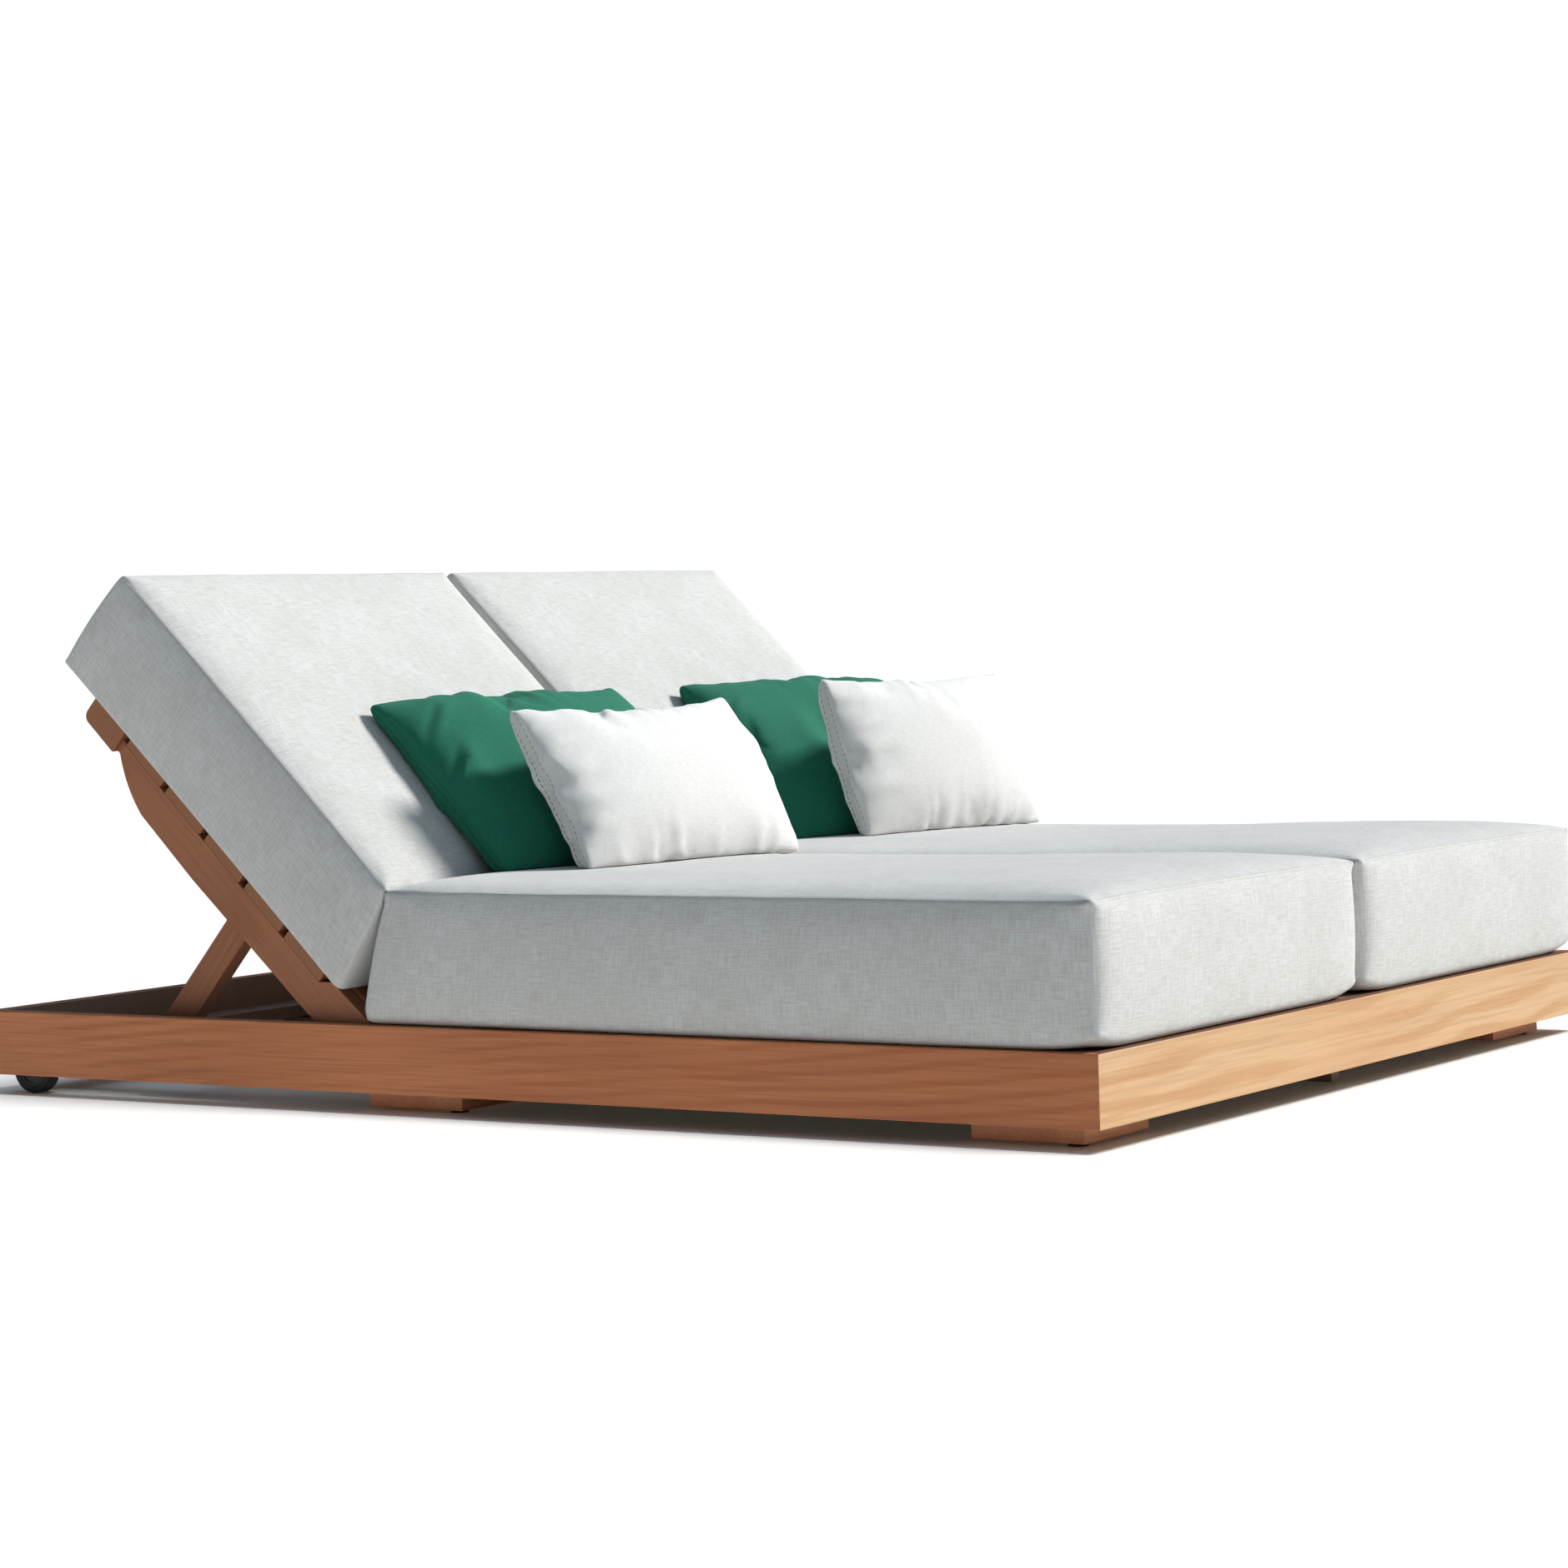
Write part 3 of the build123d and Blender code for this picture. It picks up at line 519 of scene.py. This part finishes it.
# %% [markdown]
# ## A box of cloth panels
# Every cushion starts as a box of quads. Its rows of cells are close together at the
# edges, where the cloth bends most. Each corner of the net keeps its place in the box
# as three shares from 0 to 1, and the shape of the cushion is a function of them.

# %% Net of quads
nearly = 1e-4
map_shifts = (3.1, 1.7)
seam_far = 1.0


def row_shares(size, edge, step):
    """Shares of the rows across one side: at the distances in edge, then evenly."""
    near = [d / size for d in edge]
    count = round((size - 2 * edge[-1]) / step)
    middle = [near[-1] + (1 - 2 * near[-1]) * k / count for k in range(1, count)]
    return [0.0, *near, *middle, *[1 - share for share in reversed(near)], 1.0]


def cut_box(rows):
    """A unit box cut into cells at the shares in rows, one list for each axis."""
    bm = bmesh.new()
    bmesh.ops.create_cube(bm, size=1.0)
    bmesh.ops.translate(bm, vec=(0.5, 0.5, 0.5), verts=bm.verts)
    for axis, shares in enumerate(rows):
        edges = [e for e in bm.edges if abs((e.verts[0].co - e.verts[1].co)[axis]) > 0.5]
        bmesh.ops.subdivide_edges(bm, edges=edges, cuts=len(shares) - 2, use_grid_fill=True)
    for v in bm.verts:
        v.co = Vector([rows[k][round(v.co[k] * (len(rows[k]) - 1))] for k in range(3)])
    return bm


def smooth_step(value, low, high):
    t = min(1.0, max(0.0, (value - low) / (high - low)))
    return t * t * (3 - 2 * t)


def ripple(place, size, seed):
    """Smooth noise from -1 to 1 whose bumps are about size metres wide."""
    return noise.noise(Vector(place) / size + Vector((seed * 7.3, seed * 3.1, seed * 5.7)))


def lay_maps(bm, size, seam_axis, seam_share):
    """Lays the two maps of the cloth out in metres.

    The seam lies where the share along seam_axis is seam_share, round the box. The
    panel across the box from the seam has none, so it counts as seam_far away."""
    weave = bm.loops.layers.uv.new("Weave")
    seam = bm.loops.layers.uv.new("Seam")
    plan = [k for k in range(3) if k != seam_axis]
    for face in bm.faces:
        spans = [max(l.vert.co[k] for l in face.loops) - min(l.vert.co[k] for l in face.loops)
                 for k in range(3)]
        flat = spans.index(min(spans))
        first, second = [k for k in range(3) if k != flat]
        middle = face.calc_center_median()
        ways = {(k, end): abs(middle[k] - end) * size[k] for k in plan for end in (0, 1)}
        near, end = min(ways, key=ways.get)
        other = plan[1] if near == plan[0] else plan[0]
        for corner in face.loops:
            co = corner.vert.co
            corner[weave].uv = (co[first] * size[first] + map_shifts[0] * flat,
                                co[second] * size[second] + map_shifts[1] * flat)
            if flat == seam_axis:
                away = abs(co[near] - end) * size[near]
                if middle[seam_axis] < seam_share - 0.6:
                    away += seam_far
                corner[seam].uv = (away, co[other] * size[other])
            else:
                along = [k for k in plan if k != flat][0]
                from_seam = abs(co[seam_axis] - seam_share) * size[seam_axis]
                corner[seam].uv = (from_seam, co[along] * size[along])


# %% [markdown]
# ## Filling the covers
# A stuffed cover is pulled in between its corners and swells between its seams.
# Blender's Cloth does this: pressure inside, no gravity, and the points that lie on
# the frame held by weight. The move of each point is capped, so the cover keeps its
# place. A filled cover that would enter a finished neighbour is pressed flat there.

# %% Puffing a cover
no_length = 1e-9
rest_gap = 0.0008


def puff(piece, pressure, cap, held, stiff=15.0, bend=0.4, slack=0.0, frames=20):
    """Fills a cover with pressure; held gives how firmly each point stays, up to 1."""
    scene = bpy.context.scene
    group = piece.vertex_groups.new(name="held")
    for index, weight in held.items():
        group.add([index], weight, "REPLACE")
    rest = [v.co.copy() for v in piece.data.vertices]
    cloth = piece.modifiers.new("filling", "CLOTH")
    cloth.settings.quality = 6
    cloth.settings.mass = 0.3
    cloth.settings.tension_stiffness = stiff
    cloth.settings.compression_stiffness = stiff
    cloth.settings.shear_stiffness = stiff / 3
    cloth.settings.bending_stiffness = bend
    cloth.settings.use_pressure = True
    cloth.settings.uniform_pressure_force = pressure
    cloth.settings.shrink_min = -slack
    cloth.settings.vertex_group_mass = "held"
    cloth.settings.effector_weights.gravity = 0
    cloth.collision_settings.use_collision = False
    cloth.point_cache.frame_start, cloth.point_cache.frame_end = 1, frames
    for number in range(1, frames + 1):
        scene.frame_set(number)
    shown = piece.evaluated_get(bpy.context.evaluated_depsgraph_get())
    moves = [v.co - rest[v.index] for v in shown.data.vertices]
    piece.modifiers.remove(cloth)
    piece.vertex_groups.remove(group)
    scene.frame_set(1)
    for v, start, move in zip(piece.data.vertices, rest, moves):
        far = move.length
        if far > no_length:
            v.co = start + move * (cap * math.tanh(far / cap) / far)
    print(piece.name, "largest move", round(max(m.length for m in moves) * 1000, 1), "mm")


def press_out(piece, neighbours, gap, reach_in=0.03):
    """Flattens a piece where it would enter its neighbours; all meshes are in place."""
    moved = 0
    for other in neighbours:
        mesh = other.data
        tree = BVHTree.FromPolygons([v.co for v in mesh.vertices], [p.vertices for p in mesh.polygons])
        for v in piece.data.vertices:
            spot, normal, _, far = tree.find_nearest(v.co, reach_in)
            if spot and (far < gap or (v.co - spot).dot(normal) < 0):
                v.co = spot + normal * gap
                moved += 1
    print(piece.name, "points pressed flat:", moved)


def finish_cloth(piece, place, body, node, material, neighbours=(), gap=rest_gap):
    """Sets a soft piece in place, flattens it, dresses it and hands it to its body."""
    piece.data.transform(place)
    press_out(piece, neighbours, gap)
    for face in piece.data.polygons:
        face.use_smooth = True
    rounding = piece.modifiers.new("rounding", "SUBSURF")
    rounding.levels = rounding.render_levels = 1
    piece.data.materials.append(material)
    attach(piece, body)
    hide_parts(node)


# %% [markdown]
# ## Seat and back cushions
# These are boxed foam cushions. The top panel is sewn to the side bands in a seam
# that is drawn in a little between soft lips. At the corners the seam allowance
# bunches into a small ear, with short creases round it. The lower edges are softer
# where the foam stands on the slats. A form gives the rounds, the crown and the
# slants of one kind of cushion in metres; pairs go from the foot end to the head end.

# %% Cushion form
rail_top = 0.132
edge_rows, cell = (0.0035, 0.008, 0.014, 0.023, 0.036), 0.026
seam_draw = 0.0012
crease_deep, crease_reach, crease_wide = 0.0016, 0.045, 0.014
wave_high, wave_wide = (0.0013, 0.0007), (0.19, 0.08)
ear_long, ear_wide = 0.0035, 0.009


def round_edge(point, half, length, radius, level):
    """Moves a point of a box onto the round of radius at its lower or upper edge."""
    inner = Vector((min(max(point.x, radius - half), half - radius),
                    min(max(point.y, radius), length - radius), level))
    out = point - inner
    if out.length < no_length:
        return point
    return inner + out * (radius / out.length)


def round_upright(p, share, form):
    """Moves a point of a wall onto the round at an upright edge of the box."""
    width, length, _ = form["size"]
    a, b, _ = share
    half = width / 2
    corner = form["upright_round"][0 if b < 0.5 else 1]
    dx, dy = abs(p.x) - (half - corner), max(p.y - (length - corner), corner - p.y)
    if dx > 0 and dy > 0 and at_wall(a, b):
        far = math.hypot(dx, dy)
        p.x = math.copysign(half - corner + dx / far * corner, p.x)
        p.y = length - corner + dy / far * corner if b > 0.5 else corner - dy / far * corner


def at_wall(a, b):
    return min(a, 1 - a) < nearly or min(b, 1 - b) < nearly


def boxed_place(share, form, seed):
    """Where a corner of the net lies on a boxed cushion, in metres."""
    width, length, height = form["size"]
    a, b, c = share
    half = width / 2
    across, along = 2 * a - 1, 2 * b - 1
    p = Vector(((a - 0.5) * width, b * length, c * height))
    round_upright(p, share, form)
    low = form["low_round"][0] * (1 - b) + form["low_round"][1] * b
    low += form["foot_round"] * (1 - smooth_step(b, 0.0, 0.3))
    top = form["top_round"]
    if p.z < low:
        p = round_edge(p, half, length, low, low)
    if p.z > height - top:
        p = round_edge(p, half, length, top, height - top)
    swell_walls(p, share, form)
    rise = smooth_step(c, 0.9, 1.0)
    foot = smooth_step(1 - b, 0.40, 0.95)
    dome = (1 - abs(across) ** 3) * (1 - abs(along) ** 5)
    edge = (1 - across ** 6) * foot * form["edge_lift"]
    head_edge = (1 - across ** 6) * smooth_step(b, 0.85, 1.0) * form["head_lift"]
    p.z += rise * ((form["crown"] + foot * form["foot_crown"]) * dome + edge + head_edge)
    p.y *= 1 + form["slant"] * (1 - c) / length
    p.y -= form["foot_slant"] * (1 - c) * (1 - b) ** 3
    from_corner = math.hypot(min(a, 1 - a) * width, b * length)
    lift = form["foot_round"] * 2.0 * math.exp(-(from_corner / crease_reach) ** 2)
    p.z += lift * (1 - smooth_step(c, 0.0, 0.5))
    return p + corner_marks(share, p, form, seed)


def swell_walls(p, share, form):
    """Bulges the walls between their seams and draws the sides in between corners."""
    a, b, c = share
    across, along = 2 * a - 1, 2 * b - 1
    swell = form["bulge"] * math.sin(math.pi * min(1.0, max(0.0, (c - 0.06) / 0.9)))
    p.x += math.copysign(swell, across) * (min(a, 1 - a) < nearly)
    p.y += math.copysign(swell, along) * (min(b, 1 - b) < nearly)
    p.x *= 1 - 2 * form["draw"] * (1 - along ** 4) / form["size"][0]
    p.y -= math.copysign(form["end_draw"] * (1 - across ** 4) * abs(along) ** 6, along)


def corner_marks(share, p, form, seed):
    """Uneven foam, and the creases and the ear at the ends of the top seam."""
    width, length, height = form["size"]
    a, b, c = share
    away = Vector((min(a, 1 - a) * width, min(b, 1 - b) * length, (1 - c) * height)).length
    head = form["head_creases"] if b > 0.5 else 1.0
    crease = crease_deep * head * math.exp(-away / crease_reach) * ripple(p, crease_wide, seed + 9)
    wander = wave_high[0] * ripple(p, wave_wide[0], seed) + wave_high[1] * ripple(p, wave_wide[1], seed + 4)
    ear = ear_long * math.exp(-(away / ear_wide) ** 2)
    out = Vector((math.copysign(min(a, 1 - a) < nearly, a - 0.5),
                  math.copysign(min(b, 1 - b) < nearly, b - 0.5), float(c > 1 - nearly)))
    if out.length < no_length:
        return Vector((0, 0, 0))
    return out.normalized() * (crease + wander + ear)


def on_seam(share):
    a, b, c = share
    return c > 1 - nearly and at_wall(a, b)


def hold_weights(shares, size):
    """How firmly each point is held: the underside and the seam most, the swells least."""
    held = {}
    for index, (a, b, c) in shares.items():
        to_upright = max(min(a, 1 - a) * size[0], min(b, 1 - b) * size[1])
        weight = max(1 - smooth_step(c, 0.0, 0.25), 0.8 * (1 - smooth_step(to_upright, 0.0, 0.03)))
        if on_seam((a, b, c)):
            weight = 0.9
        if weight > 0:
            held[index] = weight
    return held


def new_piece(name, bm):
    """Turns a net into an object of the scene."""
    mesh = bpy.data.meshes.new(name)
    bm.to_mesh(mesh)
    bm.free()
    piece = bpy.data.objects.new(name, mesh)
    bpy.context.scene.collection.objects.link(piece)
    return piece


def boxed_cushion(name, form, seed):
    """A boxed cushion about X = 0, from Y = 0, standing on Z = 0, and what holds it."""
    size = form["size"]
    bm = cut_box([row_shares(side, edge_rows, cell) for side in size])
    lay_maps(bm, size, 2, 1.0)
    bm.verts.index_update()
    shares = {v.index: tuple(v.co) for v in bm.verts}
    crease = bm.edges.layers.float.new("crease_edge")
    for e in bm.edges:
        if all(on_seam(shares[v.index]) for v in e.verts):
            e[crease] = 0.5
    for v in bm.verts:
        v.co = boxed_place(shares[v.index], form, seed)
    bmesh.ops.recalc_face_normals(bm, faces=bm.faces)
    bm.normal_update()
    for v in bm.verts:
        if on_seam(shares[v.index]):
            v.co -= v.normal * seam_draw
    return new_piece(name, bm), hold_weights(shares, size)


# %% [markdown]
# The two seat cushions are cut alike and lie side by side on the slats. The second
# is pressed flat where it meets the first.

# %% Seat cushions
base_half, middle_gap = 0.800, 0.002
side_room = 0.0035
foam_pressure, seat_cap = 3.0, 0.005
half_room = base_half - middle_gap
cushion_width = half_room - 2 * side_room
cushion_middle = middle_gap + half_room / 2
seat_start, seat_length, seat_height = -1.000, 1.188, 0.200
seat_form = {"size": (cushion_width, seat_length, seat_height), "slant": 0.056, "foot_slant": 0.0,
             "low_round": (0.012, 0.022), "foot_round": 0.006, "top_round": 0.011,
             "upright_round": (0.026, 0.018), "bulge": 0.003, "draw": 0.003, "end_draw": 0.001,
             "crown": 0.009, "foot_crown": 0.007, "edge_lift": 0.006, "head_lift": 0.006,
             "head_creases": 2.6}
made = {}


def make_seat(side, sign, seed):
    piece, held = boxed_cushion("seat_cover_" + side, seat_form, seed)
    puff(piece, foam_pressure, seat_cap, held)
    place = Matrix.Translation((sign * cushion_middle, seat_start, rail_top))
    finish_cloth(piece, place, "root", "seat_cushion_" + side, grey_weave, made.values())
    return piece


for side, sign, seed in (("left", -1, 1), ("right", 1, 2)):
    made["seat_" + side] = make_seat(side, sign, seed)
print("seat cushions:", [len(p.data.polygons) for p in made.values()])

# %% [markdown]
# The back cushions lie on the slats of their backrest and ride with it. Each is
# pressed flat where its low end meets the seat cushion.

# %% Back cushions
hinge = Vector((0, 0.2505, 0.108))
contact_height = 0.026
cushion_gap, back_cap = 0.0025, 0.004
back_start, back_length, back_height = 0.102, 0.697, 0.185
back_form = {"size": (cushion_width, back_length, back_height), "slant": 0.0, "foot_slant": 0.033,
             "low_round": (0.018, 0.006), "foot_round": 0.0, "top_round": 0.013,
             "upright_round": (0.012, 0.009), "bulge": 0.003, "draw": 0.002, "end_draw": 0.001,
             "crown": 0.009, "foot_crown": 0.0, "edge_lift": 0.0, "head_lift": 0.004,
             "head_creases": 1.0}
back_place = Matrix.Translation(hinge) @ Matrix.Rotation(back_angle, 4, "X")


def make_back(side, sign, seed):
    piece, held = boxed_cushion("back_cover_" + side, back_form, seed)
    puff(piece, foam_pressure, back_cap, held)
    place = back_place @ Matrix.Translation((sign * cushion_middle, back_start, contact_height))
    finish_cloth(piece, place, "back_" + side, "back_cushion_" + side, grey_weave,
                 [made["seat_" + side]], gap=cushion_gap)
    return piece


for side, sign, seed in (("left", -1, 3), ("right", 1, 4)):
    made["back_" + side] = make_back(side, sign, seed)
print("cushions:", {name: len(p.data.polygons) for name, p in made.items()})

# %% [markdown]
# ## Loose pillows
# A pillow is two flat panels sewn together all round and then stuffed. So it is
# made that way here: the net starts flat and Cloth's pressure blows it up, which
# gives the ears at the corners and the small creases that run in from the seam.
# Filled this way the seams end up drawn in, so afterwards the belly is smoothed, each
# side of the seam is led to the line that it has in the photograph, and the belly to
# its depth. The ears and the folds that the photograph shows are added one by one. A
# pillow is pressed flat against the cushions, and the green one against the lumbar.

# %% Pillow form
panel_ease = 1.03
panels_apart = 0.006
start_apart, start_deep = 0.004, 0.05
crumple_high, crumple_wide = 0.004, 0.05
pillow_edge_rows, pillow_cell = (0.005, 0.010), 0.0095
ear_reach, side_wall_reach = 0.055, 0.09


def start_pillow(share, size, seed):
    """Two flat panels, a little apart, with a slight crumple to fold along."""
    a, b, c = share
    x, z = (a - 0.5) * size[0], c * size[1]
    deep = start_apart + start_deep * math.sin(math.pi * a) ** 0.7 * math.sin(math.pi * c) ** 0.7
    crumple = crumple_high * ripple((x, b * 0.5, z), crumple_wide, seed)
    return Vector((x, (2 * b - 1) * (deep + crumple * min(1.0, deep / 0.02)), z))


def side_lines(piece, shares):
    """Where the seam runs after filling: for each side, share along it to place."""
    lines = {"left": {}, "right": {}, "low": {}, "high": {}}
    for index, (a, b, c) in shares.items():
        if abs(b - 0.5) > 0.01:
            continue
        co = piece.data.vertices[index].co.copy()
        if a < nearly:
            lines["left"][round(c, 4)] = co
        if a > 1 - nearly:
            lines["right"][round(c, 4)] = co
        if c < nearly:
            lines["low"][round(a, 4)] = co
        if c > 1 - nearly:
            lines["high"][round(a, 4)] = co
    return lines


def smooth_belly(piece, passes):
    """Evens out the small waves of a filled pillow."""
    bm = bmesh.new()
    bm.from_mesh(piece.data)
    for _ in range(passes):
        bmesh.ops.smooth_vert(bm, verts=bm.verts, factor=0.5, use_axis_x=False,
                              use_axis_y=True, use_axis_z=False)
    bm.to_mesh(piece.data)
    bm.free()


def lead_to_lines(co, a, c, lines, look):
    """Moves a point with the seams as they are led to their lines, flat side to side."""
    width, height = look["size"]
    bow = look["bow"]
    arch_c, arch_a = 4 * c * (1 - c), 4 * a * (1 - a)
    left, right = lines["left"][round(c, 4)], lines["right"][round(c, 4)]
    low, high = lines["low"][round(a, 4)], lines["high"][round(a, 4)]
    to_left = -width / 2 - bow["left"] * arch_c - left.x
    to_right = width / 2 + bow["right"] * arch_c - right.x
    to_low = -bow["low"] * arch_a - low.z
    to_high = height + bow["high"] * arch_a - high.z
    co.x += (1 - a) ** 2 * to_left + a ** 2 * to_right
    co.z += (1 - c) ** 2 * to_low + c ** 2 * to_high
    nearest = max(1 - a, a, 1 - c, c) ** 8
    side_y = min(((1 - a, left.y), (a, right.y), (1 - c, low.y), (c, high.y)), key=lambda w: -w[0])[1]
    co.y -= side_y * nearest


def pull_ears(co, a, c, size, pulls):
    """Pulls the corners out or in; each pull belongs to the corner at its shares."""
    for (end_a, end_c), (dx, dz) in pulls.items():
        away = math.hypot((a - end_a) * size[0], (c - end_c) * size[1])
        share = math.exp(-(away / ear_reach) ** 2)
        co.x += dx * share
        co.z += dz * share


def shape_belly(co, a, c, look, name):
    """Gives the belly its fullness, the folds and a flat hem beside the seam."""
    width, height = look["size"]
    inward = min(min(a, 1 - a) * width, min(c, 1 - c) * height)
    depth = look["belly"] if co.y < 0 else look["rear"]
    share = min(1.0, abs(co.y) / depth)
    side_wall = 1 - 0.5 * math.exp(-(min(a, 1 - a) * width / side_wall_reach) ** 2)
    co.y = math.copysign(depth * share ** (look["round"] if co.y < 0 else side_wall), co.y)
    if co.y < 0:
        co.y -= fold_height(name, a * width, c * height) * smooth_step(inward, 0.0, 0.02)
    if look["hem"] > 0:
        co.y *= 0.2 + 0.8 * smooth_step(inward, 0.6 * look["hem"], 1.9 * look["hem"])


def fit_pillow(piece, shares, look):
    """Leads the seam to its lines and the belly to its depth."""
    lines = side_lines(piece, shares)
    verts = piece.data.vertices
    front = min(v.co.y for v in verts)
    back = max(v.co.y for v in verts)
    for index, (a, _, c) in shares.items():
        co = verts[index].co
        co.y *= look["belly"] / -front if co.y < 0 else look["rear"] / back
        lead_to_lines(co, a, c, lines, look)
        pull_ears(co, a, c, look["size"], ears[piece.name])
        shape_belly(co, a, c, look, piece.name)


def fold_height(name, x, z):
    """Height of the pillow's folds: a ridge beside a hollow along each line."""
    height = 0.0
    for x0, z0, x1, z1, high, wide in folds[name]:
        way = Vector((x1 - x0, z1 - z0))
        off = Vector((x - x0, z - z0))
        along = off.dot(way) / way.length_squared
        aside = way.normalized().cross(off) / wide
        taper = smooth_step(along, -0.15, 0.25) * (1 - smooth_step(along, 0.6, 1.15))
        height += high * taper * aside * math.exp(0.5 - aside * aside)
    return height


def make_pillow(kind, side, look, place, seed):
    """One filled pillow, green or lumbar, in its place."""
    name = f"{kind}_cover_{side}"
    neighbours = [p for other, p in made.items() if other.endswith(side)]
    width, height = look["size"]
    bm = cut_box([row_shares(width, pillow_edge_rows, pillow_cell), [0.0, 0.5, 1.0],
                  row_shares(height, pillow_edge_rows, pillow_cell)])
    lay_maps(bm, (width, panels_apart, height), 1, 0.5)
    bm.verts.index_update()
    shares = {v.index: tuple(v.co) for v in bm.verts}
    for v in bm.verts:
        v.co = start_pillow(shares[v.index], (width * panel_ease, height * panel_ease), seed)
    bmesh.ops.recalc_face_normals(bm, faces=bm.faces)
    piece = new_piece(name, bm)
    puff(piece, 5.0, 0.2, {}, stiff=20.0, bend=0.06, slack=0.03, frames=30)
    smooth_belly(piece, look["smooth"])
    fit_pillow(piece, shares, look)
    finish_cloth(piece, place, "back_" + side, f"{kind}_pillow_{side}", look["cloth"],
                 neighbours)
    for other in neighbours:
        if other.name.startswith("green"):
            press_out(other, [piece], rest_gap)
    made[name] = piece
    return piece


def stood(x, distance, rise, lean, turn):
    """Place of a pillow that stands on the seat, leans back and is turned a little."""
    return (Matrix.Translation((x, hinge.y - distance, rail_top + seat_height + rise))
            @ Matrix.Rotation(math.radians(-turn), 4, "Z")
            @ Matrix.Rotation(math.radians(lean - 90), 4, "X"))


# %% [markdown]
# The green pair stands behind and the lumbar pair in front. Once they are made, the
# green pair gets the lamp of its own that the studio's text speaks of.

# %% Pillows
green_look = {"size": (0.514, 0.380), "belly": 0.064, "rear": 0.0450, "hem": 0.0, "round": 0.75,
              "smooth": 8, "bow": {"left": 0.010, "right": 0.004, "low": 0.0, "high": 0.008},
              "slot": "green_cloth", "cloth": green_cloth}
lumbar_look = {"size": (0.489, 0.284), "belly": 0.062, "rear": 0.044, "hem": 0.003, "round": 1.0,
               "smooth": 12, "bow": {"left": 0.003, "right": 0.004, "low": 0.002, "high": -0.014},
               "slot": "light_linen", "cloth": light_linen}
# For each corner, by its shares: how far it is pulled across and up.
ears = {
    "green_cover_left": {(0, 1): (-0.014, 0.006), (1, 1): (-0.004, 0.014)},
    "green_cover_right": {(0, 1): (0.008, 0.012), (1, 1): (-0.004, 0.004)},
    "lumbar_cover_left": {(0, 1): (-0.006, 0.003), (1, 1): (0.000, 0.008), (0, 0): (-0.006, 0.0)},
    "lumbar_cover_right": {(0, 1): (0.004, 0.000), (1, 1): (0.000, -0.004), (0, 0): (0.002, 0.0)},
}
# Each fold: where it starts across and up, where it ends, its height and its width.
folds = {
    "green_cover_left": (
        (0.106, 0.308, 0.039, 0.258, 0.005, 0.012), (0.090, 0.225, 0.024, 0.168, 0.006, 0.012),
        (0.086, 0.182, 0.020, 0.132, 0.006, 0.012), (0.110, 0.210, 0.036, 0.000, -0.005, 0.030)),
    "green_cover_right": (
        (0.100, 0.290, 0.040, 0.240, 0.004, 0.014), (0.20, 0.25, 0.15, 0.03, -0.006, 0.030)),
    "lumbar_cover_left": (
        (0.01, 0.235, 0.06, 0.245, 0.003, 0.009), (0.01, 0.185, 0.08, 0.195, 0.004, 0.010),
        (0.01, 0.13, 0.09, 0.15, 0.004, 0.011), (0.01, 0.09, 0.08, 0.11, 0.004, 0.010),
        (0.02, 0.04, 0.07, 0.07, 0.003, 0.010), (0.46, 0.26, 0.37, 0.20, 0.004, 0.014)),
    "lumbar_cover_right": (
        (0.01, 0.23, 0.08, 0.22, 0.003, 0.010), (0.01, 0.17, 0.09, 0.18, 0.004, 0.011),
        (0.01, 0.12, 0.11, 0.15, 0.005, 0.013), (0.01, 0.06, 0.10, 0.09, 0.004, 0.012),
        (0.45, 0.25, 0.36, 0.19, 0.003, 0.016)),
}
pillows = [
    make_pillow("green", "left", green_look, stood(-0.317, 0.1655, 0.0048, 42, 9.5), 5),
    make_pillow("green", "right", green_look, stood(0.486, 0.1655, 0.0046, 42, 10.5), 6),
    make_pillow("lumbar", "left", lumbar_look, stood(-0.260, 0.2535, 0.0084, 58, 6), 7),
    make_pillow("lumbar", "right", lumbar_look, stood(0.545, 0.2285, 0.0074, 71, 6), 8),
]
green_lamp = make_key("green_lamp", (0.75, -0.35, 0.56), spread=12, strength=5.6,
                      colour=(1.0, 0.99, 0.97))
limit_lamp(green_lamp, "INCLUDE", *pillows[:2])
limit_lamp(key_lamp, "EXCLUDE", floor, *pillows[:2])
print("pillows:", [p.name for p in pillows])
